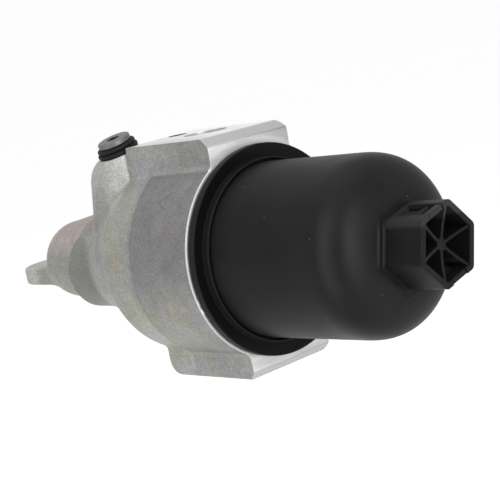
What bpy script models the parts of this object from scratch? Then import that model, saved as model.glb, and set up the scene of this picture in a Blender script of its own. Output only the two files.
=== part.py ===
# Cartridge oil filter housing: an aluminium casting with a screw-on moulded bowl.
#
# World frame: the origin is on the machined engine mounting face, which looks along +Z.
# +X runs along the bowl's axis, from the casting towards the bowl's hexagon.
# "Along" is the distance in front of the casting's front face, measured on the bowl's axis.

import math

import bmesh
import bpy
from mathutils import Vector

MM = 0.001
DEG = math.pi / 180
SEAT_GAP = 0.3 * MM
THROUGH = 1.0 * MM

# Facets round a turned piece
LARGE_FACETS = 48
MEDIUM_FACETS = 32
SMALL_FACETS = 20

# Casting: barrel, shoulder and rear end
BARREL_RADIUS = 49.2 * MM
BARREL_LENGTH = 44.0 * MM
BARREL_STEP = 0.9 * MM
BARREL_EDGE = 0.7 * MM
COLLAR_RADIUS = 47.9 * MM
COLLAR_LENGTH = 16.0 * MM
COLLAR_DRAFT = 0.9 * MM
SHOULDER_LENGTH = 30.5 * MM
SHOULDER_FOOT = 31.8 * MM
NECK_LENGTH = 12.0 * MM
REAR_RADIUS = 25.8 * MM
REAR_TAPER = 5.5 * MM
REAR_BACK = 163.2 * MM
REAR_ROUNDING = 13.6 * MM
REAR_NOSE = 17.3 * MM
REAR_DROOP = 0.036

# Casting: block with the mounting face; its face and its foot stand clear of the barrel
BLOCK_WIDTH = 48.8 * MM
BLOCK_LENGTH = 60.5 * MM
FACE_STAND = 6.8 * MM
FOOT_STAND = 5.8 * MM
BLOCK_DROP = BARREL_RADIUS + FOOT_STAND
BLOCK_CORNER = 4.5 * MM
BLOCK_HEEL = 7.0 * MM
FRONT_CHAMFER = 4.0 * MM

# Placing of the bowl's axis in the world
FACE_BACK = 14.0 * MM
AXIS_DROP = BARREL_RADIUS + FACE_STAND

# Casting: rear boss, valve tower, gallery and mounting ear
REAR_BOSS_RADIUS = 20.2 * MM
REAR_BOSS_BACK = 119.5 * MM
REAR_BOSS_FRONT = 70.0 * MM
REAR_BOSS_SIDE = -10.0 * MM
REAR_BOSS_RISE = -4.2 * MM
REAR_BOSS_EDGE = 1.2 * MM
TOWER_RADIUS = 15.6 * MM
TOWER_FLARE = 6.0 * MM
TOWER_BACK = 94.5 * MM
TOWER_SIDE = -3.0 * MM
TOWER_TOP = 52.0 * MM
TOWER_CROWN = 11.0 * MM
GALLERY_WIDTH = 25.0 * MM
GALLERY_TOP = 46.0 * MM
EAR_RADIUS = 18.5 * MM
EAR_BACK = 172.0 * MM
EAR_TOP = -3.5 * MM
EAR_THICKNESS = 8.6 * MM
EAR_EDGE = 1.2 * MM
EAR_HOLE_RADIUS = 4.5 * MM

# Casting: machined bores
SEAT_RADIUS = 51.4 * MM
SEAT_DEPTH = 0.4 * MM
LAND_RADIUS = 43.5 * MM
LAND_LENGTH = 7.5 * MM
THREAD_RADIUS = 42.0 * MM
THREAD_LENGTH = 13.5 * MM
CHAMBER_RADIUS = 40.5 * MM
CHAMBER_DEPTH = 46.0 * MM
RAW_OIL_BORE = 10.0 * MM
CLEAN_BORE_END = 100.0 * MM
STANDPIPE_SEAT = 16.0 * MM
RELIEF_BORE_RADIUS = 8.5 * MM
RELIEF_BORE_LENGTH = 28.0 * MM

# Ports in the mounting face
INLET_RADIUS = 8.5 * MM
INLET_BACK = 33.0 * MM
INLET_SIDE = 4.0 * MM
INLET_SEAT_RADIUS = 10.5 * MM
OUTLET_RADIUS = 4.4 * MM
OUTLET_INSET = 5.6 * MM
OUTLET_SIDE = 5.0 * MM
OUTLET_FOOT_BACK = 80.0 * MM

# Screw plug and its rubber seal
PLUG_TILT = 15.0 * DEG
PLUG_BACK = 70.2 * MM
PLUG_SIDE = -19.75 * MM
PLUG_SEAT_RISE = 54.0 * MM
PLUG_BOSS_RADIUS = 11.8 * MM
PLUG_BOSS_SPREAD = 13.6 * MM
PLUG_SPOTFACE = 12.4 * MM
PLUG_SHANK_RADIUS = 6.0 * MM
PLUG_SHANK_LENGTH = 11.0 * MM
PLUG_BORE_EXTRA = 3.0 * MM
PLUG_DRILL_RADIUS = 4.0 * MM
PLUG_DRILL_LENGTH = 54.0 * MM
PLUG_HEAD_RADIUS = 8.0 * MM
PLUG_HEAD_HEIGHT = 2.4 * MM
PLUG_HEAD_EDGE = 0.5 * MM
PLUG_SOCKET_RADIUS = 3.3 * MM
PLUG_SOCKET_LOBE = 0.55 * MM
PLUG_SOCKET_DEPTH = 3.2 * MM
SEAL_LIP_RADIUS = 10.1 * MM
SEAL_UPPER_RADIUS = 9.5 * MM
SEAL_WAIST = 0.9 * MM
SEAL_HEIGHT = 4.2 * MM

# Bowl: flange, collar, wall and dome
FLANGE_OVERLAP = 4.8 * MM
FLANGE_FRONT = 4.4 * MM
FLANGE_EDGE = 0.7 * MM
BEAD_STAND_OFF = 1.9 * MM
BEAD_WIDTH = 1.3 * MM
BEAD_FRONT = 3.1 * MM
BEAD_HEIGHT = 1.0 * MM
BOWL_RADIUS = 39.9 * MM
BOWL_TAPER = 0.2 * MM
BOWL_WALL = 3.0 * MM
BOWL_STRAIGHT = 60.2 * MM
DOME_LENGTH = 25.7 * MM
DOME_POWER = 3.03
COLLAR_WALL = 4.6 * MM
LAND_CLEARANCE = 0.4 * MM
THREAD_CLEARANCE = 0.4 * MM
BOWL_THREAD_END = 20.0 * MM
RING_SECTION = 3.0 * MM
ELEMENT_RING_RADIUS = 22.5 * MM
ELEMENT_RING_WALL = 2.0 * MM

# Bowl: hexagon with ribs and latch tongues
HEX_FLATS = 32.0 * MM
HEX_WALL = 2.5 * MM
HEX_FRONT = 105.3 * MM
HEX_CORNER = 2.6 * MM
HEX_TURN = -15.9 * DEG
PAD_FLATS = 38.4 * MM
PAD_RISE = 0.4 * MM
POCKET_FLOOR = 86.4 * MM
RIB_THICKNESS = 1.3 * MM
RIB_RECESS = 3.4 * MM
RIB_SHY = 0.5 * MM
HUB_RADIUS = 2.7 * MM
TONGUE_WIDTH = 8.6 * MM
TONGUE_SLOT = 0.6 * MM
TONGUE_THICKNESS = 2.1 * MM
TONGUE_SIDES = (0, 3)

# Filter element
ELEMENT_RADIUS = 33.0 * MM
ELEMENT_FRONT = 70.0 * MM
CAP_THICKNESS = 2.5 * MM
CAP_RIM = 4.0 * MM
CAP_HOLE_RADIUS = 13.6 * MM
PLEAT_COUNT = 44
PLEAT_OUTER = 31.6 * MM
PLEAT_INNER = 18.4 * MM
PAPER_OFFSET = 1.3 * MM
CORE_RADIUS = 17.0 * MM
CORE_WALL = 1.2 * MM
CORE_SLOTS = 6

# Standpipe and bypass valve
PIPE_RADIUS = 11.0 * MM
PIPE_WALL = 1.6 * MM
PIPE_FRONT = 50.0 * MM
PIPE_WINDOW_WIDTH = 5.0 * MM
PIPE_WINDOW_LENGTH = 22.0 * MM
BYPASS_SEAT_LENGTH = 3.0 * MM
BYPASS_BORE = 5.6 * MM
BYPASS_DISC_RADIUS = 8.3 * MM
BYPASS_DISC_THICKNESS = 1.6 * MM
BYPASS_SPRING_LENGTH = 13.0 * MM
PIPE_SHOULDER = 2.4 * MM

# Relief valve
RELIEF_RING_LENGTH = 1.6 * MM
RELIEF_RING_BORE = 5.4 * MM
RELIEF_PISTON_LENGTH = 10.0 * MM
RELIEF_PISTON_WALL = 1.4 * MM
RELIEF_FIT = 0.15 * MM

# Inlet non-return valve
INLET_SEAT_TOP = 4.0 * MM
INLET_SEAT_THICKNESS = 2.0 * MM
INLET_SEAT_BORE = 6.5 * MM
INLET_DISC_RADIUS = 8.0 * MM
INLET_DISC_THICKNESS = 1.2 * MM
INLET_CAGE_DEPTH = 7.6 * MM
INLET_CAGE_WALL = 1.2 * MM

# Springs
WIRE_RADIUS = 0.5 * MM
SPRING_TURNS = 5
LIGHT_WIRE_RADIUS = 0.3 * MM
LIGHT_SPRING_TURNS = 3
SPRING_STEPS = 12
WIRE_SIDES = 5


def clear_scene():
    for old in list(bpy.data.objects):
        bpy.data.objects.remove(old, do_unlink=True)


def material(name, colour, roughness, metallic):
    made = bpy.data.materials.new(name)
    made.use_nodes = True
    shader = made.node_tree.nodes["Principled BSDF"]
    shader.inputs["Base Color"].default_value = (*colour, 1.0)
    shader.inputs["Roughness"].default_value = roughness
    shader.inputs["Metallic"].default_value = metallic
    return made


def empty(name, location, rotation=(0.0, 0.0, 0.0)):
    made = bpy.data.objects.new(name, None)
    made.location = location
    made.rotation_euler = rotation
    bpy.context.collection.objects.link(made)
    return made


def solid(name, shape, finish, parent):
    """Turn a finished bmesh into an object that hangs from an empty."""
    bmesh.ops.remove_doubles(shape, verts=shape.verts, dist=0.002 * MM)
    bmesh.ops.recalc_face_normals(shape, faces=shape.faces)
    mesh = bpy.data.meshes.new(name)
    shape.to_mesh(mesh)
    shape.free()
    mesh.shade_smooth()
    mesh.set_sharp_from_angle(angle=32 * DEG)
    made = bpy.data.objects.new(name, mesh)
    bpy.context.collection.objects.link(made)
    made.parent = parent
    if finish:
        mesh.materials.append(finish)
    return made


def combine(target, tool, operation):
    """Boolean another object into the target; the other object stays as a hidden guide."""
    tool.hide_render = True
    tool.display_type = "WIRE"
    step = target.modifiers.new(operation.lower() + "_" + tool.name, "BOOLEAN")
    step.operation = operation
    step.solver = "EXACT"
    step.object = tool


def turned(outline, facets):
    """Spin a closed outline of (radius, height) points round Z."""
    shape = bmesh.new()
    ring = [shape.verts.new((radius, 0.0, height)) for radius, height in outline]
    edges = [shape.edges.new((a, b)) for a, b in zip(ring, ring[1:] + ring[:1])
             if a.co.x > 1e-9 or b.co.x > 1e-9]
    bmesh.ops.spin(shape, geom=ring + edges, cent=(0, 0, 0), axis=(0, 0, 1),
                   angle=2 * math.pi, steps=facets, use_merge=True)
    return shape


def prism(outline, low, high, place):
    """Extrude a closed outline of (u, v) points; place(u, v, w) gives each corner's position."""
    shape = bmesh.new()
    base = shape.faces.new([shape.verts.new(place(u, v, low)) for u, v in outline])
    raised = bmesh.ops.extrude_face_region(shape, geom=[base])["geom"]
    shift = Vector(place(0.0, 0.0, high)) - Vector(place(0.0, 0.0, low))
    bmesh.ops.translate(shape, vec=shift, verts=[v for v in raised if isinstance(v, bmesh.types.BMVert)])
    return shape


def rounded(corners, radii, steps=5):
    """Round each corner of a convex or concave outline with an arc of its own radius."""
    points = []
    count = len(corners)
    for index, (corner, radius) in enumerate(zip(corners, radii)):
        here = Vector(corner)
        to_last = (Vector(corners[index - 1]) - here).normalized()
        to_next = (Vector(corners[(index + 1) % count]) - here).normalized()
        if radius <= 0.0:
            points.append(tuple(here))
            continue
        half = to_last.angle(to_next) / 2
        reach = radius / math.tan(half)
        centre = here + (to_last + to_next).normalized() * (radius / math.sin(half))
        start = here + to_last * reach - centre
        sweep = (here + to_next * reach - centre)
        turn = start.angle_signed(sweep)
        for step in range(steps + 1):
            angle = -turn * step / steps
            cosine, sine = math.cos(angle), math.sin(angle)
            arm = Vector((start.x * cosine - start.y * sine, start.x * sine + start.y * cosine))
            points.append(tuple(centre + arm))
    return points


def hexagon(flats, corner, turn):
    """A hexagon across flats, with rounded corners, in the (down, side) plane of the bowl."""
    reach = flats / 2 / math.cos(math.pi / 6)
    corners = []
    for index in range(6):
        angle = turn + index * math.pi / 3
        corners.append((-reach * math.cos(angle), -reach * math.sin(angle)))
    return rounded(corners, [corner] * 6, 3)


def bezier(start, pull_a, pull_b, end, steps):
    """Points of a cubic curve after its start, up to its end."""
    points = []
    for step in range(1, steps + 1):
        t = step / steps
        weights = ((1 - t) ** 3, 3 * t * (1 - t) ** 2, 3 * t * t * (1 - t), t ** 3)
        knots = (start, pull_a, pull_b, end)
        points.append(tuple(sum(w * k[axis] for w, k in zip(weights, knots)) for axis in (0, 1)))
    return points


def along_bore(u, v, w):
    """Outline in (down, side), swept along the bowl's axis."""
    return (u, v, w)


def across_block(u, v, w):
    """Outline in (along, up), swept from side to side."""
    return (u, w, v)


def along_block(u, v, w):
    """Outline in (side, up), swept along the bowl's axis."""
    return (w, u, v)


def upright(u, v, w):
    """Outline in (along, side), swept upward."""
    return (u, v, w)


def coil(radius, low, high, wire, turns):
    """A compression spring round Z as one closed tube with capped ends."""
    shape = bmesh.new()
    steps = turns * SPRING_STEPS
    rings = []
    for step in range(steps + 1):
        angle = 2 * math.pi * step / SPRING_STEPS
        centre = low + wire + (high - low - 2 * wire) * step / steps
        ring = []
        for side in range(WIRE_SIDES):
            around = 2 * math.pi * side / WIRE_SIDES
            reach = radius + wire * math.cos(around)
            height = centre + wire * math.sin(around)
            ring.append(shape.verts.new((reach * math.cos(angle), reach * math.sin(angle), height)))
        rings.append(ring)
    for near, far in zip(rings, rings[1:]):
        for side in range(WIRE_SIDES):
            after = (side + 1) % WIRE_SIDES
            shape.faces.new((near[side], near[after], far[after], far[side]))
    shape.faces.new(list(reversed(rings[0])))
    shape.faces.new(rings[-1])
    return shape


def casting_profile():
    """Outer outline of the turned part of the casting, from its front face to its rear end."""
    collar_end = BARREL_LENGTH + COLLAR_LENGTH
    shoulder_end = collar_end + SHOULDER_LENGTH
    neck_end = shoulder_end + NECK_LENGTH
    collar_foot = COLLAR_RADIUS - COLLAR_DRAFT
    points = [(0.0, 0.0), (BARREL_RADIUS - BARREL_EDGE, 0.0), (BARREL_RADIUS - BARREL_EDGE, -SEAT_DEPTH),
              (BARREL_RADIUS, -SEAT_DEPTH - BARREL_EDGE), (BARREL_RADIUS, -BARREL_LENGTH + BARREL_STEP / 3),
              (BARREL_RADIUS - BARREL_STEP, -BARREL_LENGTH),
              (COLLAR_RADIUS, -BARREL_LENGTH - BARREL_STEP / 3), (collar_foot, -collar_end)]
    points += bezier((collar_foot, -collar_end), (collar_foot, -collar_end - 0.31 * SHOULDER_LENGTH),
                     (SHOULDER_FOOT + 0.1 * SHOULDER_LENGTH, -shoulder_end + 0.44 * SHOULDER_LENGTH),
                     (SHOULDER_FOOT, -shoulder_end), 8)
    points += bezier((SHOULDER_FOOT, -shoulder_end),
                     (SHOULDER_FOOT - 0.1 * NECK_LENGTH, -shoulder_end - 0.4 * NECK_LENGTH),
                     (REAR_RADIUS, -neck_end + 0.5 * NECK_LENGTH), (REAR_RADIUS, -neck_end), 4)
    radius = REAR_RADIUS - REAR_TAPER
    for step in range(8):
        angle = math.pi / 2 * step / 7
        points.append((radius - REAR_ROUNDING * (1 - math.cos(angle)),
                       -REAR_BACK + REAR_NOSE * (1 - math.sin(angle))))
    points.append((0.0, -REAR_BACK))
    return points


def bore_profile():
    """The machined bore: flange seat, seal land, thread, chamber, standpipe seat and rear bores."""
    land_end = SEAT_DEPTH + LAND_LENGTH
    thread_end = land_end + THREAD_LENGTH
    seat_end = CHAMBER_DEPTH + STANDPIPE_SEAT
    relief_end = CLEAN_BORE_END + RELIEF_BORE_LENGTH
    pipe_bore = PIPE_RADIUS + SEAT_GAP
    lead = LAND_RADIUS - THREAD_RADIUS
    return [(0.0, THROUGH), (SEAT_RADIUS + THROUGH, THROUGH), (SEAT_RADIUS, -SEAT_DEPTH),
            (LAND_RADIUS + lead / 2, -SEAT_DEPTH), (LAND_RADIUS, -SEAT_DEPTH - lead / 2),
            (LAND_RADIUS, -land_end), (THREAD_RADIUS, -land_end - lead),
            (THREAD_RADIUS, -thread_end), (CHAMBER_RADIUS, -thread_end - lead),
            (CHAMBER_RADIUS, -CHAMBER_DEPTH), (pipe_bore, -CHAMBER_DEPTH), (pipe_bore, -seat_end),
            (RAW_OIL_BORE, -seat_end), (RAW_OIL_BORE, -CLEAN_BORE_END),
            (RELIEF_BORE_RADIUS, -CLEAN_BORE_END), (RELIEF_BORE_RADIUS, -relief_end),
            (0.0, -relief_end)]


def block_solid(casting):
    """The block that carries the mounting face: its side outline crossed with its end outline."""
    side = rounded([(-BLOCK_LENGTH, -BLOCK_DROP), (-FRONT_CHAMFER, -BLOCK_DROP),
                    (0.0, -BLOCK_DROP + FRONT_CHAMFER), (0.0, AXIS_DROP - FRONT_CHAMFER),
                    (-FRONT_CHAMFER, AXIS_DROP), (-BLOCK_LENGTH, AXIS_DROP)],
                   [BLOCK_HEEL, 0.0, 0.0, 0.0, 0.0, 0.0])
    half = BLOCK_WIDTH / 2
    end = rounded([(-half, -BLOCK_DROP), (half, -BLOCK_DROP), (half, AXIS_DROP), (-half, AXIS_DROP)],
                  [BLOCK_CORNER / 2, BLOCK_CORNER / 2, BLOCK_CORNER, BLOCK_CORNER / 2])
    block = solid("block_guide", prism(side, -half - THROUGH, half + THROUGH, across_block), None, casting)
    ends = prism(end, -BLOCK_LENGTH - THROUGH, THROUGH, along_block)
    crossing = solid("block_end_guide", ends, None, casting)
    combine(block, crossing, "INTERSECT")
    return block


def tower_solid(casting):
    """The upright tower over the clean-oil bore, with a rounded crown."""
    crown = TOWER_TOP - TOWER_CROWN
    points = [(0.0, 0.0), (TOWER_RADIUS + TOWER_FLARE, 0.0), (TOWER_RADIUS, crown)]
    for step in range(1, 6):
        angle = math.pi / 2 * step / 5
        radius = TOWER_RADIUS - TOWER_CROWN * (1 - math.cos(angle))
        points.append((radius, crown + TOWER_CROWN * math.sin(angle)))
    points.append((0.0, TOWER_TOP))
    tower = solid("tower_guide", turned(points, MEDIUM_FACETS), None, casting)
    tower.location = (-TOWER_BACK, TOWER_SIDE, 0.0)
    return tower


def plug_boss_solid(casting):
    """The upright boss that carries the plug; it spreads downward with the mould's draft."""
    top = PLUG_SEAT_RISE + PLUG_BOSS_RADIUS * math.tan(PLUG_TILT)
    points = [(0.0, 0.0), (PLUG_BOSS_SPREAD, 0.0), (PLUG_BOSS_RADIUS, top), (0.0, top)]
    boss = solid("plug_boss_guide", turned(points, MEDIUM_FACETS), None, casting)
    boss.location = (-PLUG_BACK, PLUG_SIDE, 0.0)
    return boss


def ear_solid(casting):
    """The flat mounting ear at the rear end."""
    root = REAR_BACK - REAR_NOSE
    outline = [(-root, -EAR_RADIUS), (-root, EAR_RADIUS)]
    for step in range(17):
        angle = math.pi / 2 + math.pi * step / 16
        outline.append((-EAR_BACK + EAR_RADIUS * math.cos(angle), EAR_RADIUS * math.sin(angle)))
    ear = solid("ear_guide", prism(outline, EAR_TOP - EAR_THICKNESS, EAR_TOP, upright), None, casting)
    soften = ear.modifiers.new("soft_edges", "BEVEL")
    soften.width = EAR_EDGE
    soften.segments = 2
    soften.limit_method = "ANGLE"
    soften.angle_limit = 60 * DEG
    return ear


def make_housing(bore, casting, plug, finish):
    """The casting: cast solids joined, then every machined face, bore and hole cut into them."""
    body = turned(casting_profile(), LARGE_FACETS)
    droop_start = -BARREL_LENGTH - COLLAR_LENGTH - SHOULDER_LENGTH
    for vert in body.verts:
        if vert.co.z < droop_start:
            vert.co.x += REAR_DROOP * (droop_start - vert.co.z)
    housing = solid("housing", body, finish, bore)
    combine(housing, block_solid(casting), "UNION")

    edge = REAR_BOSS_EDGE
    outer = REAR_BOSS_RADIUS
    rear = [(0.0, -REAR_BOSS_FRONT), (outer, -REAR_BOSS_FRONT), (outer, edge - REAR_BOSS_BACK),
            (outer - edge * 0.3, edge * 0.3 - REAR_BOSS_BACK),
            (outer - edge, -REAR_BOSS_BACK), (0.0, -REAR_BOSS_BACK)]
    rear_boss = solid("rear_boss_guide", turned(rear, MEDIUM_FACETS), None, bore)
    rear_boss.location = (-REAR_BOSS_RISE, REAR_BOSS_SIDE, 0.0)
    combine(housing, rear_boss, "UNION")

    half = GALLERY_WIDTH / 2
    bar = rounded([(TOWER_SIDE - half, 0.0), (TOWER_SIDE + half, 0.0), (TOWER_SIDE + half, GALLERY_TOP),
                   (TOWER_SIDE - half, GALLERY_TOP)], [0.0, 0.0, half / 2, half / 2])
    gallery = prism(bar, -TOWER_BACK, BLOCK_CORNER - BLOCK_LENGTH, along_block)
    combine(housing, solid("gallery_guide", gallery, None, casting), "UNION")
    combine(housing, tower_solid(casting), "UNION")
    combine(housing, plug_boss_solid(casting), "UNION")
    combine(housing, ear_solid(casting), "UNION")

    combine(housing, solid("bore_cut", turned(bore_profile(), LARGE_FACETS), None, bore), "DIFFERENCE")

    spot = [(0.0, 0.0), (PLUG_SPOTFACE, 0.0), (PLUG_SPOTFACE, 2 * PLUG_SPOTFACE), (0.0, 2 * PLUG_SPOTFACE)]
    combine(housing, solid("plug_spotface_cut", turned(spot, MEDIUM_FACETS), None, plug), "DIFFERENCE")
    thread_depth = PLUG_SHANK_LENGTH + PLUG_BORE_EXTRA
    thread = PLUG_SHANK_RADIUS + SEAT_GAP
    drill = [(0.0, -PLUG_DRILL_LENGTH), (PLUG_DRILL_RADIUS, -PLUG_DRILL_LENGTH),
             (PLUG_DRILL_RADIUS, -thread_depth), (thread, -thread_depth), (thread, THROUGH), (0.0, THROUGH)]
    combine(housing, solid("plug_bore_cut", turned(drill, SMALL_FACETS), None, plug), "DIFFERENCE")

    combine(housing, inlet_cut(casting), "DIFFERENCE")
    combine(housing, outlet_cut(casting), "DIFFERENCE")
    low, high = EAR_TOP - EAR_THICKNESS - THROUGH, EAR_TOP + THROUGH
    hole = [(0.0, low), (EAR_HOLE_RADIUS, low), (EAR_HOLE_RADIUS, high), (0.0, high)]
    ear_hole = solid("ear_hole_cut", turned(hole, SMALL_FACETS), None, casting)
    ear_hole.location = (-EAR_BACK, 0.0, 0.0)
    combine(housing, ear_hole, "DIFFERENCE")
    return housing


def inlet_cut(casting):
    """Inlet port: a counterbore for the non-return valve, then a drilling into the chamber."""
    seat_floor = AXIS_DROP - INLET_SEAT_TOP - INLET_SEAT_THICKNESS - INLET_CAGE_DEPTH - 2 * SEAT_GAP
    low = CHAMBER_RADIUS - 4 * THROUGH
    points = [(0.0, low), (INLET_RADIUS, low), (INLET_RADIUS, seat_floor), (INLET_SEAT_RADIUS, seat_floor),
              (INLET_SEAT_RADIUS, AXIS_DROP + THROUGH), (0.0, AXIS_DROP + THROUGH)]
    cut = solid("inlet_cut", turned(points, MEDIUM_FACETS), None, casting)
    cut.location = (-INLET_BACK, INLET_SIDE, 0.0)
    return cut


def outlet_cut(casting):
    """Outlet port: a slanted drilling from the mounting face down to the clean-oil bore."""
    top = Vector((OUTLET_INSET - BLOCK_LENGTH, OUTLET_SIDE, AXIS_DROP))
    foot = Vector((-OUTLET_FOOT_BACK, 0.0, 0.0))
    run = top - foot
    reach = run.length + 2 * OUTLET_RADIUS
    points = [(0.0, 0.0), (OUTLET_RADIUS, 0.0), (OUTLET_RADIUS, reach), (0.0, reach)]
    cut = solid("outlet_cut", turned(points, SMALL_FACETS), None, casting)
    cut.location = foot
    cut.rotation_euler = run.to_track_quat("Z", "Y").to_euler()
    return cut


def dome(radius, start, length, steps):
    """Points of the bowl's domed end, from its straight wall to the axis."""
    points = []
    for step in range(steps + 1):
        u = math.sin(math.pi / 2 * step / steps) ** 0.85
        points.append((radius * max(0.0, 1 - u ** DOME_POWER) ** (1 / DOME_POWER), start + length * u))
    return points


def bowl_profile():
    """Section of the bowl: flange with bead, wall, dome, element ring, and collar with its groove."""
    top = BOWL_RADIUS - BOWL_TAPER
    land = LAND_RADIUS - LAND_CLEARANCE
    thread = THREAD_RADIUS - THREAD_CLEARANCE
    collar_bore = LAND_RADIUS - LAND_CLEARANCE - COLLAR_WALL
    back = SEAT_GAP - SEAT_DEPTH
    groove_centre = -SEAT_DEPTH - LAND_LENGTH / 2
    groove_half = RING_SECTION / 2 + SEAT_GAP
    groove_floor = LAND_RADIUS - RING_SECTION - 2 * SEAT_GAP
    thread_start = -SEAT_DEPTH - LAND_LENGTH - (LAND_RADIUS - THREAD_RADIUS)
    flange = LAND_RADIUS + FLANGE_OVERLAP
    bead_out = BOWL_RADIUS + BEAD_STAND_OFF + BEAD_WIDTH / 2
    bead_in = bead_out - BEAD_WIDTH
    bead_foot = BEAD_FRONT - BEAD_HEIGHT
    inner = top - BOWL_WALL
    points = [(flange - FLANGE_EDGE, back), (flange, back + FLANGE_EDGE),
              (flange, FLANGE_FRONT - FLANGE_EDGE / 2), (flange - FLANGE_EDGE / 2, FLANGE_FRONT),
              (bead_out + BEAD_WIDTH / 2, bead_foot), (bead_out, bead_foot),
              (bead_out - BEAD_WIDTH / 4, BEAD_FRONT), (bead_in + BEAD_WIDTH / 4, BEAD_FRONT),
              (bead_in, bead_foot), (BOWL_RADIUS + FLANGE_EDGE, bead_foot),
              (BOWL_RADIUS, bead_foot + FLANGE_EDGE)]
    points += dome(top, BOWL_STRAIGHT, DOME_LENGTH, 10)
    inside = dome(inner, BOWL_STRAIGHT, DOME_LENGTH - BOWL_WALL, 7)
    ring_in = ELEMENT_RING_RADIUS - ELEMENT_RING_WALL
    ring_foot = ELEMENT_FRONT + SEAT_GAP + CAP_THICKNESS
    points += [point for point in reversed(inside) if point[0] < ring_in]
    rise = (1 - (ring_in / inner) ** DOME_POWER) ** (1 / DOME_POWER)
    roof = BOWL_STRAIGHT + (DOME_LENGTH - BOWL_WALL) * rise
    points += [(ring_in, roof - THROUGH / 4), (ring_in, ring_foot), (ELEMENT_RING_RADIUS, ring_foot),
               (ELEMENT_RING_RADIUS, roof - THROUGH / 2)]
    points += [point for point in reversed(inside) if point[0] > ELEMENT_RING_RADIUS + THROUGH]
    points += [(collar_bore, bead_foot + BOWL_WALL), (collar_bore, -BOWL_THREAD_END),
               (thread - FLANGE_EDGE, -BOWL_THREAD_END), (thread, -BOWL_THREAD_END + FLANGE_EDGE),
               (thread, thread_start), (land, -SEAT_DEPTH - LAND_LENGTH),
               (land, groove_centre - groove_half), (groove_floor, groove_centre - groove_half),
               (groove_floor, groove_centre + groove_half), (land, groove_centre + groove_half),
               (land, back)]
    return points


def rib_outline():
    """Half of a rib's side view as (radius, along): its front edge sags towards the hub."""
    reach = HEX_FLATS / 2 / math.cos(math.pi / 6) - HEX_CORNER / 2
    low = POCKET_FLOOR - BOWL_WALL / 2
    hub_front = HEX_FRONT - RIB_RECESS
    points = [(-HUB_RADIUS / 2, low), (reach, low)]
    for step in range(7):
        share = 1 - step / 6
        points.append((reach * share, hub_front + (RIB_RECESS - RIB_SHY) * share ** 2))
    points.append((-HUB_RADIUS / 2, hub_front))
    return points


def tongue_outline():
    """Side view of a latch tongue as (distance from the axis, along), with its ramp and front barb."""
    flat = HEX_FLATS / 2
    inner = flat - HEX_WALL - TONGUE_THICKNESS
    low = POCKET_FLOOR - BOWL_WALL / 2
    rise = HEX_FRONT - RIB_SHY / 2 - low
    back = inner + TONGUE_THICKNESS
    barb = flat - 0.1 * HEX_WALL
    notch = flat - 0.9 * HEX_WALL
    return [(inner, low), (back, low), (back, low + 0.38 * rise), (flat - 0.3 * HEX_WALL, low + 0.64 * rise),
            (notch, low + 0.66 * rise), (notch, low + 0.72 * rise), (barb, low + 0.86 * rise),
            (barb, low + rise), (flat - HEX_WALL, low + rise), (flat - HEX_WALL, low + 0.7 * rise),
            (inner, low + 0.5 * rise)]


def make_bowl(bore, finish):
    """The moulded bowl in one piece, with its hexagon, ribs and latch tongues."""
    bowl = solid("bowl", turned(bowl_profile(), LARGE_FACETS), finish, bore)
    inside = DOME_LENGTH - BOWL_WALL / 2
    pad = prism(hexagon(PAD_FLATS, HEX_CORNER, HEX_TURN), BOWL_STRAIGHT + 0.86 * inside,
                POCKET_FLOOR - BOWL_WALL / 2 + PAD_RISE, along_bore)
    combine(bowl, solid("pad_guide", pad, None, bore), "UNION")
    outline = hexagon(HEX_FLATS, HEX_CORNER, HEX_TURN)
    hexagonal = prism(outline, BOWL_STRAIGHT + 0.88 * inside, HEX_FRONT, along_bore)
    combine(bowl, solid("hex_guide", hexagonal, None, bore), "UNION")
    outline = hexagon(HEX_FLATS - 2 * HEX_WALL, HEX_CORNER * 0.6, HEX_TURN)
    pocket = prism(outline, POCKET_FLOOR, HEX_FRONT + THROUGH, along_bore)
    combine(bowl, solid("pocket_cut", pocket, None, bore), "DIFFERENCE")

    flat_turn = HEX_TURN + math.pi / 6
    slot_half = TONGUE_WIDTH / 2 + TONGUE_SLOT
    deep = HEX_FLATS / 2 - 1.6 * HEX_WALL
    low, high = POCKET_FLOOR + TONGUE_SLOT, HEX_FRONT + THROUGH
    for index, side in enumerate(TONGUE_SIDES):
        window = prism([(deep, low), (HEX_FLATS, low), (HEX_FLATS, high), (deep, high)],
                       -slot_half, slot_half, across_block)
        cut = solid("window_cut_%d" % (index + 1), window, None, bore)
        cut.rotation_euler = (0.0, 0.0, math.pi + flat_turn + side * math.pi / 3)
        combine(bowl, cut, "DIFFERENCE")

    hub = turned([(0.0, POCKET_FLOOR - BOWL_WALL / 2), (HUB_RADIUS, POCKET_FLOOR - BOWL_WALL / 2),
                  (HUB_RADIUS, HEX_FRONT - RIB_RECESS), (0.0, HEX_FRONT - RIB_RECESS)], 12)
    combine(bowl, solid("hub_guide", hub, None, bore), "UNION")
    for index in range(6):
        blade = prism(rib_outline(), -RIB_THICKNESS / 2, RIB_THICKNESS / 2, across_block)
        rib = solid("rib_guide_%d" % (index + 1), blade, None, bore)
        rib.rotation_euler = (0.0, 0.0, math.pi + HEX_TURN + index * math.pi / 3)
        combine(bowl, rib, "UNION")
    for index, side in enumerate(TONGUE_SIDES):
        blade = prism(tongue_outline(), -TONGUE_WIDTH / 2, TONGUE_WIDTH / 2, across_block)
        tongue = solid("tongue_guide_%d" % (index + 1), blade, None, bore)
        tongue.rotation_euler = (0.0, 0.0, math.pi + flat_turn + side * math.pi / 3)
        combine(bowl, tongue, "UNION")
    return bowl


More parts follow.
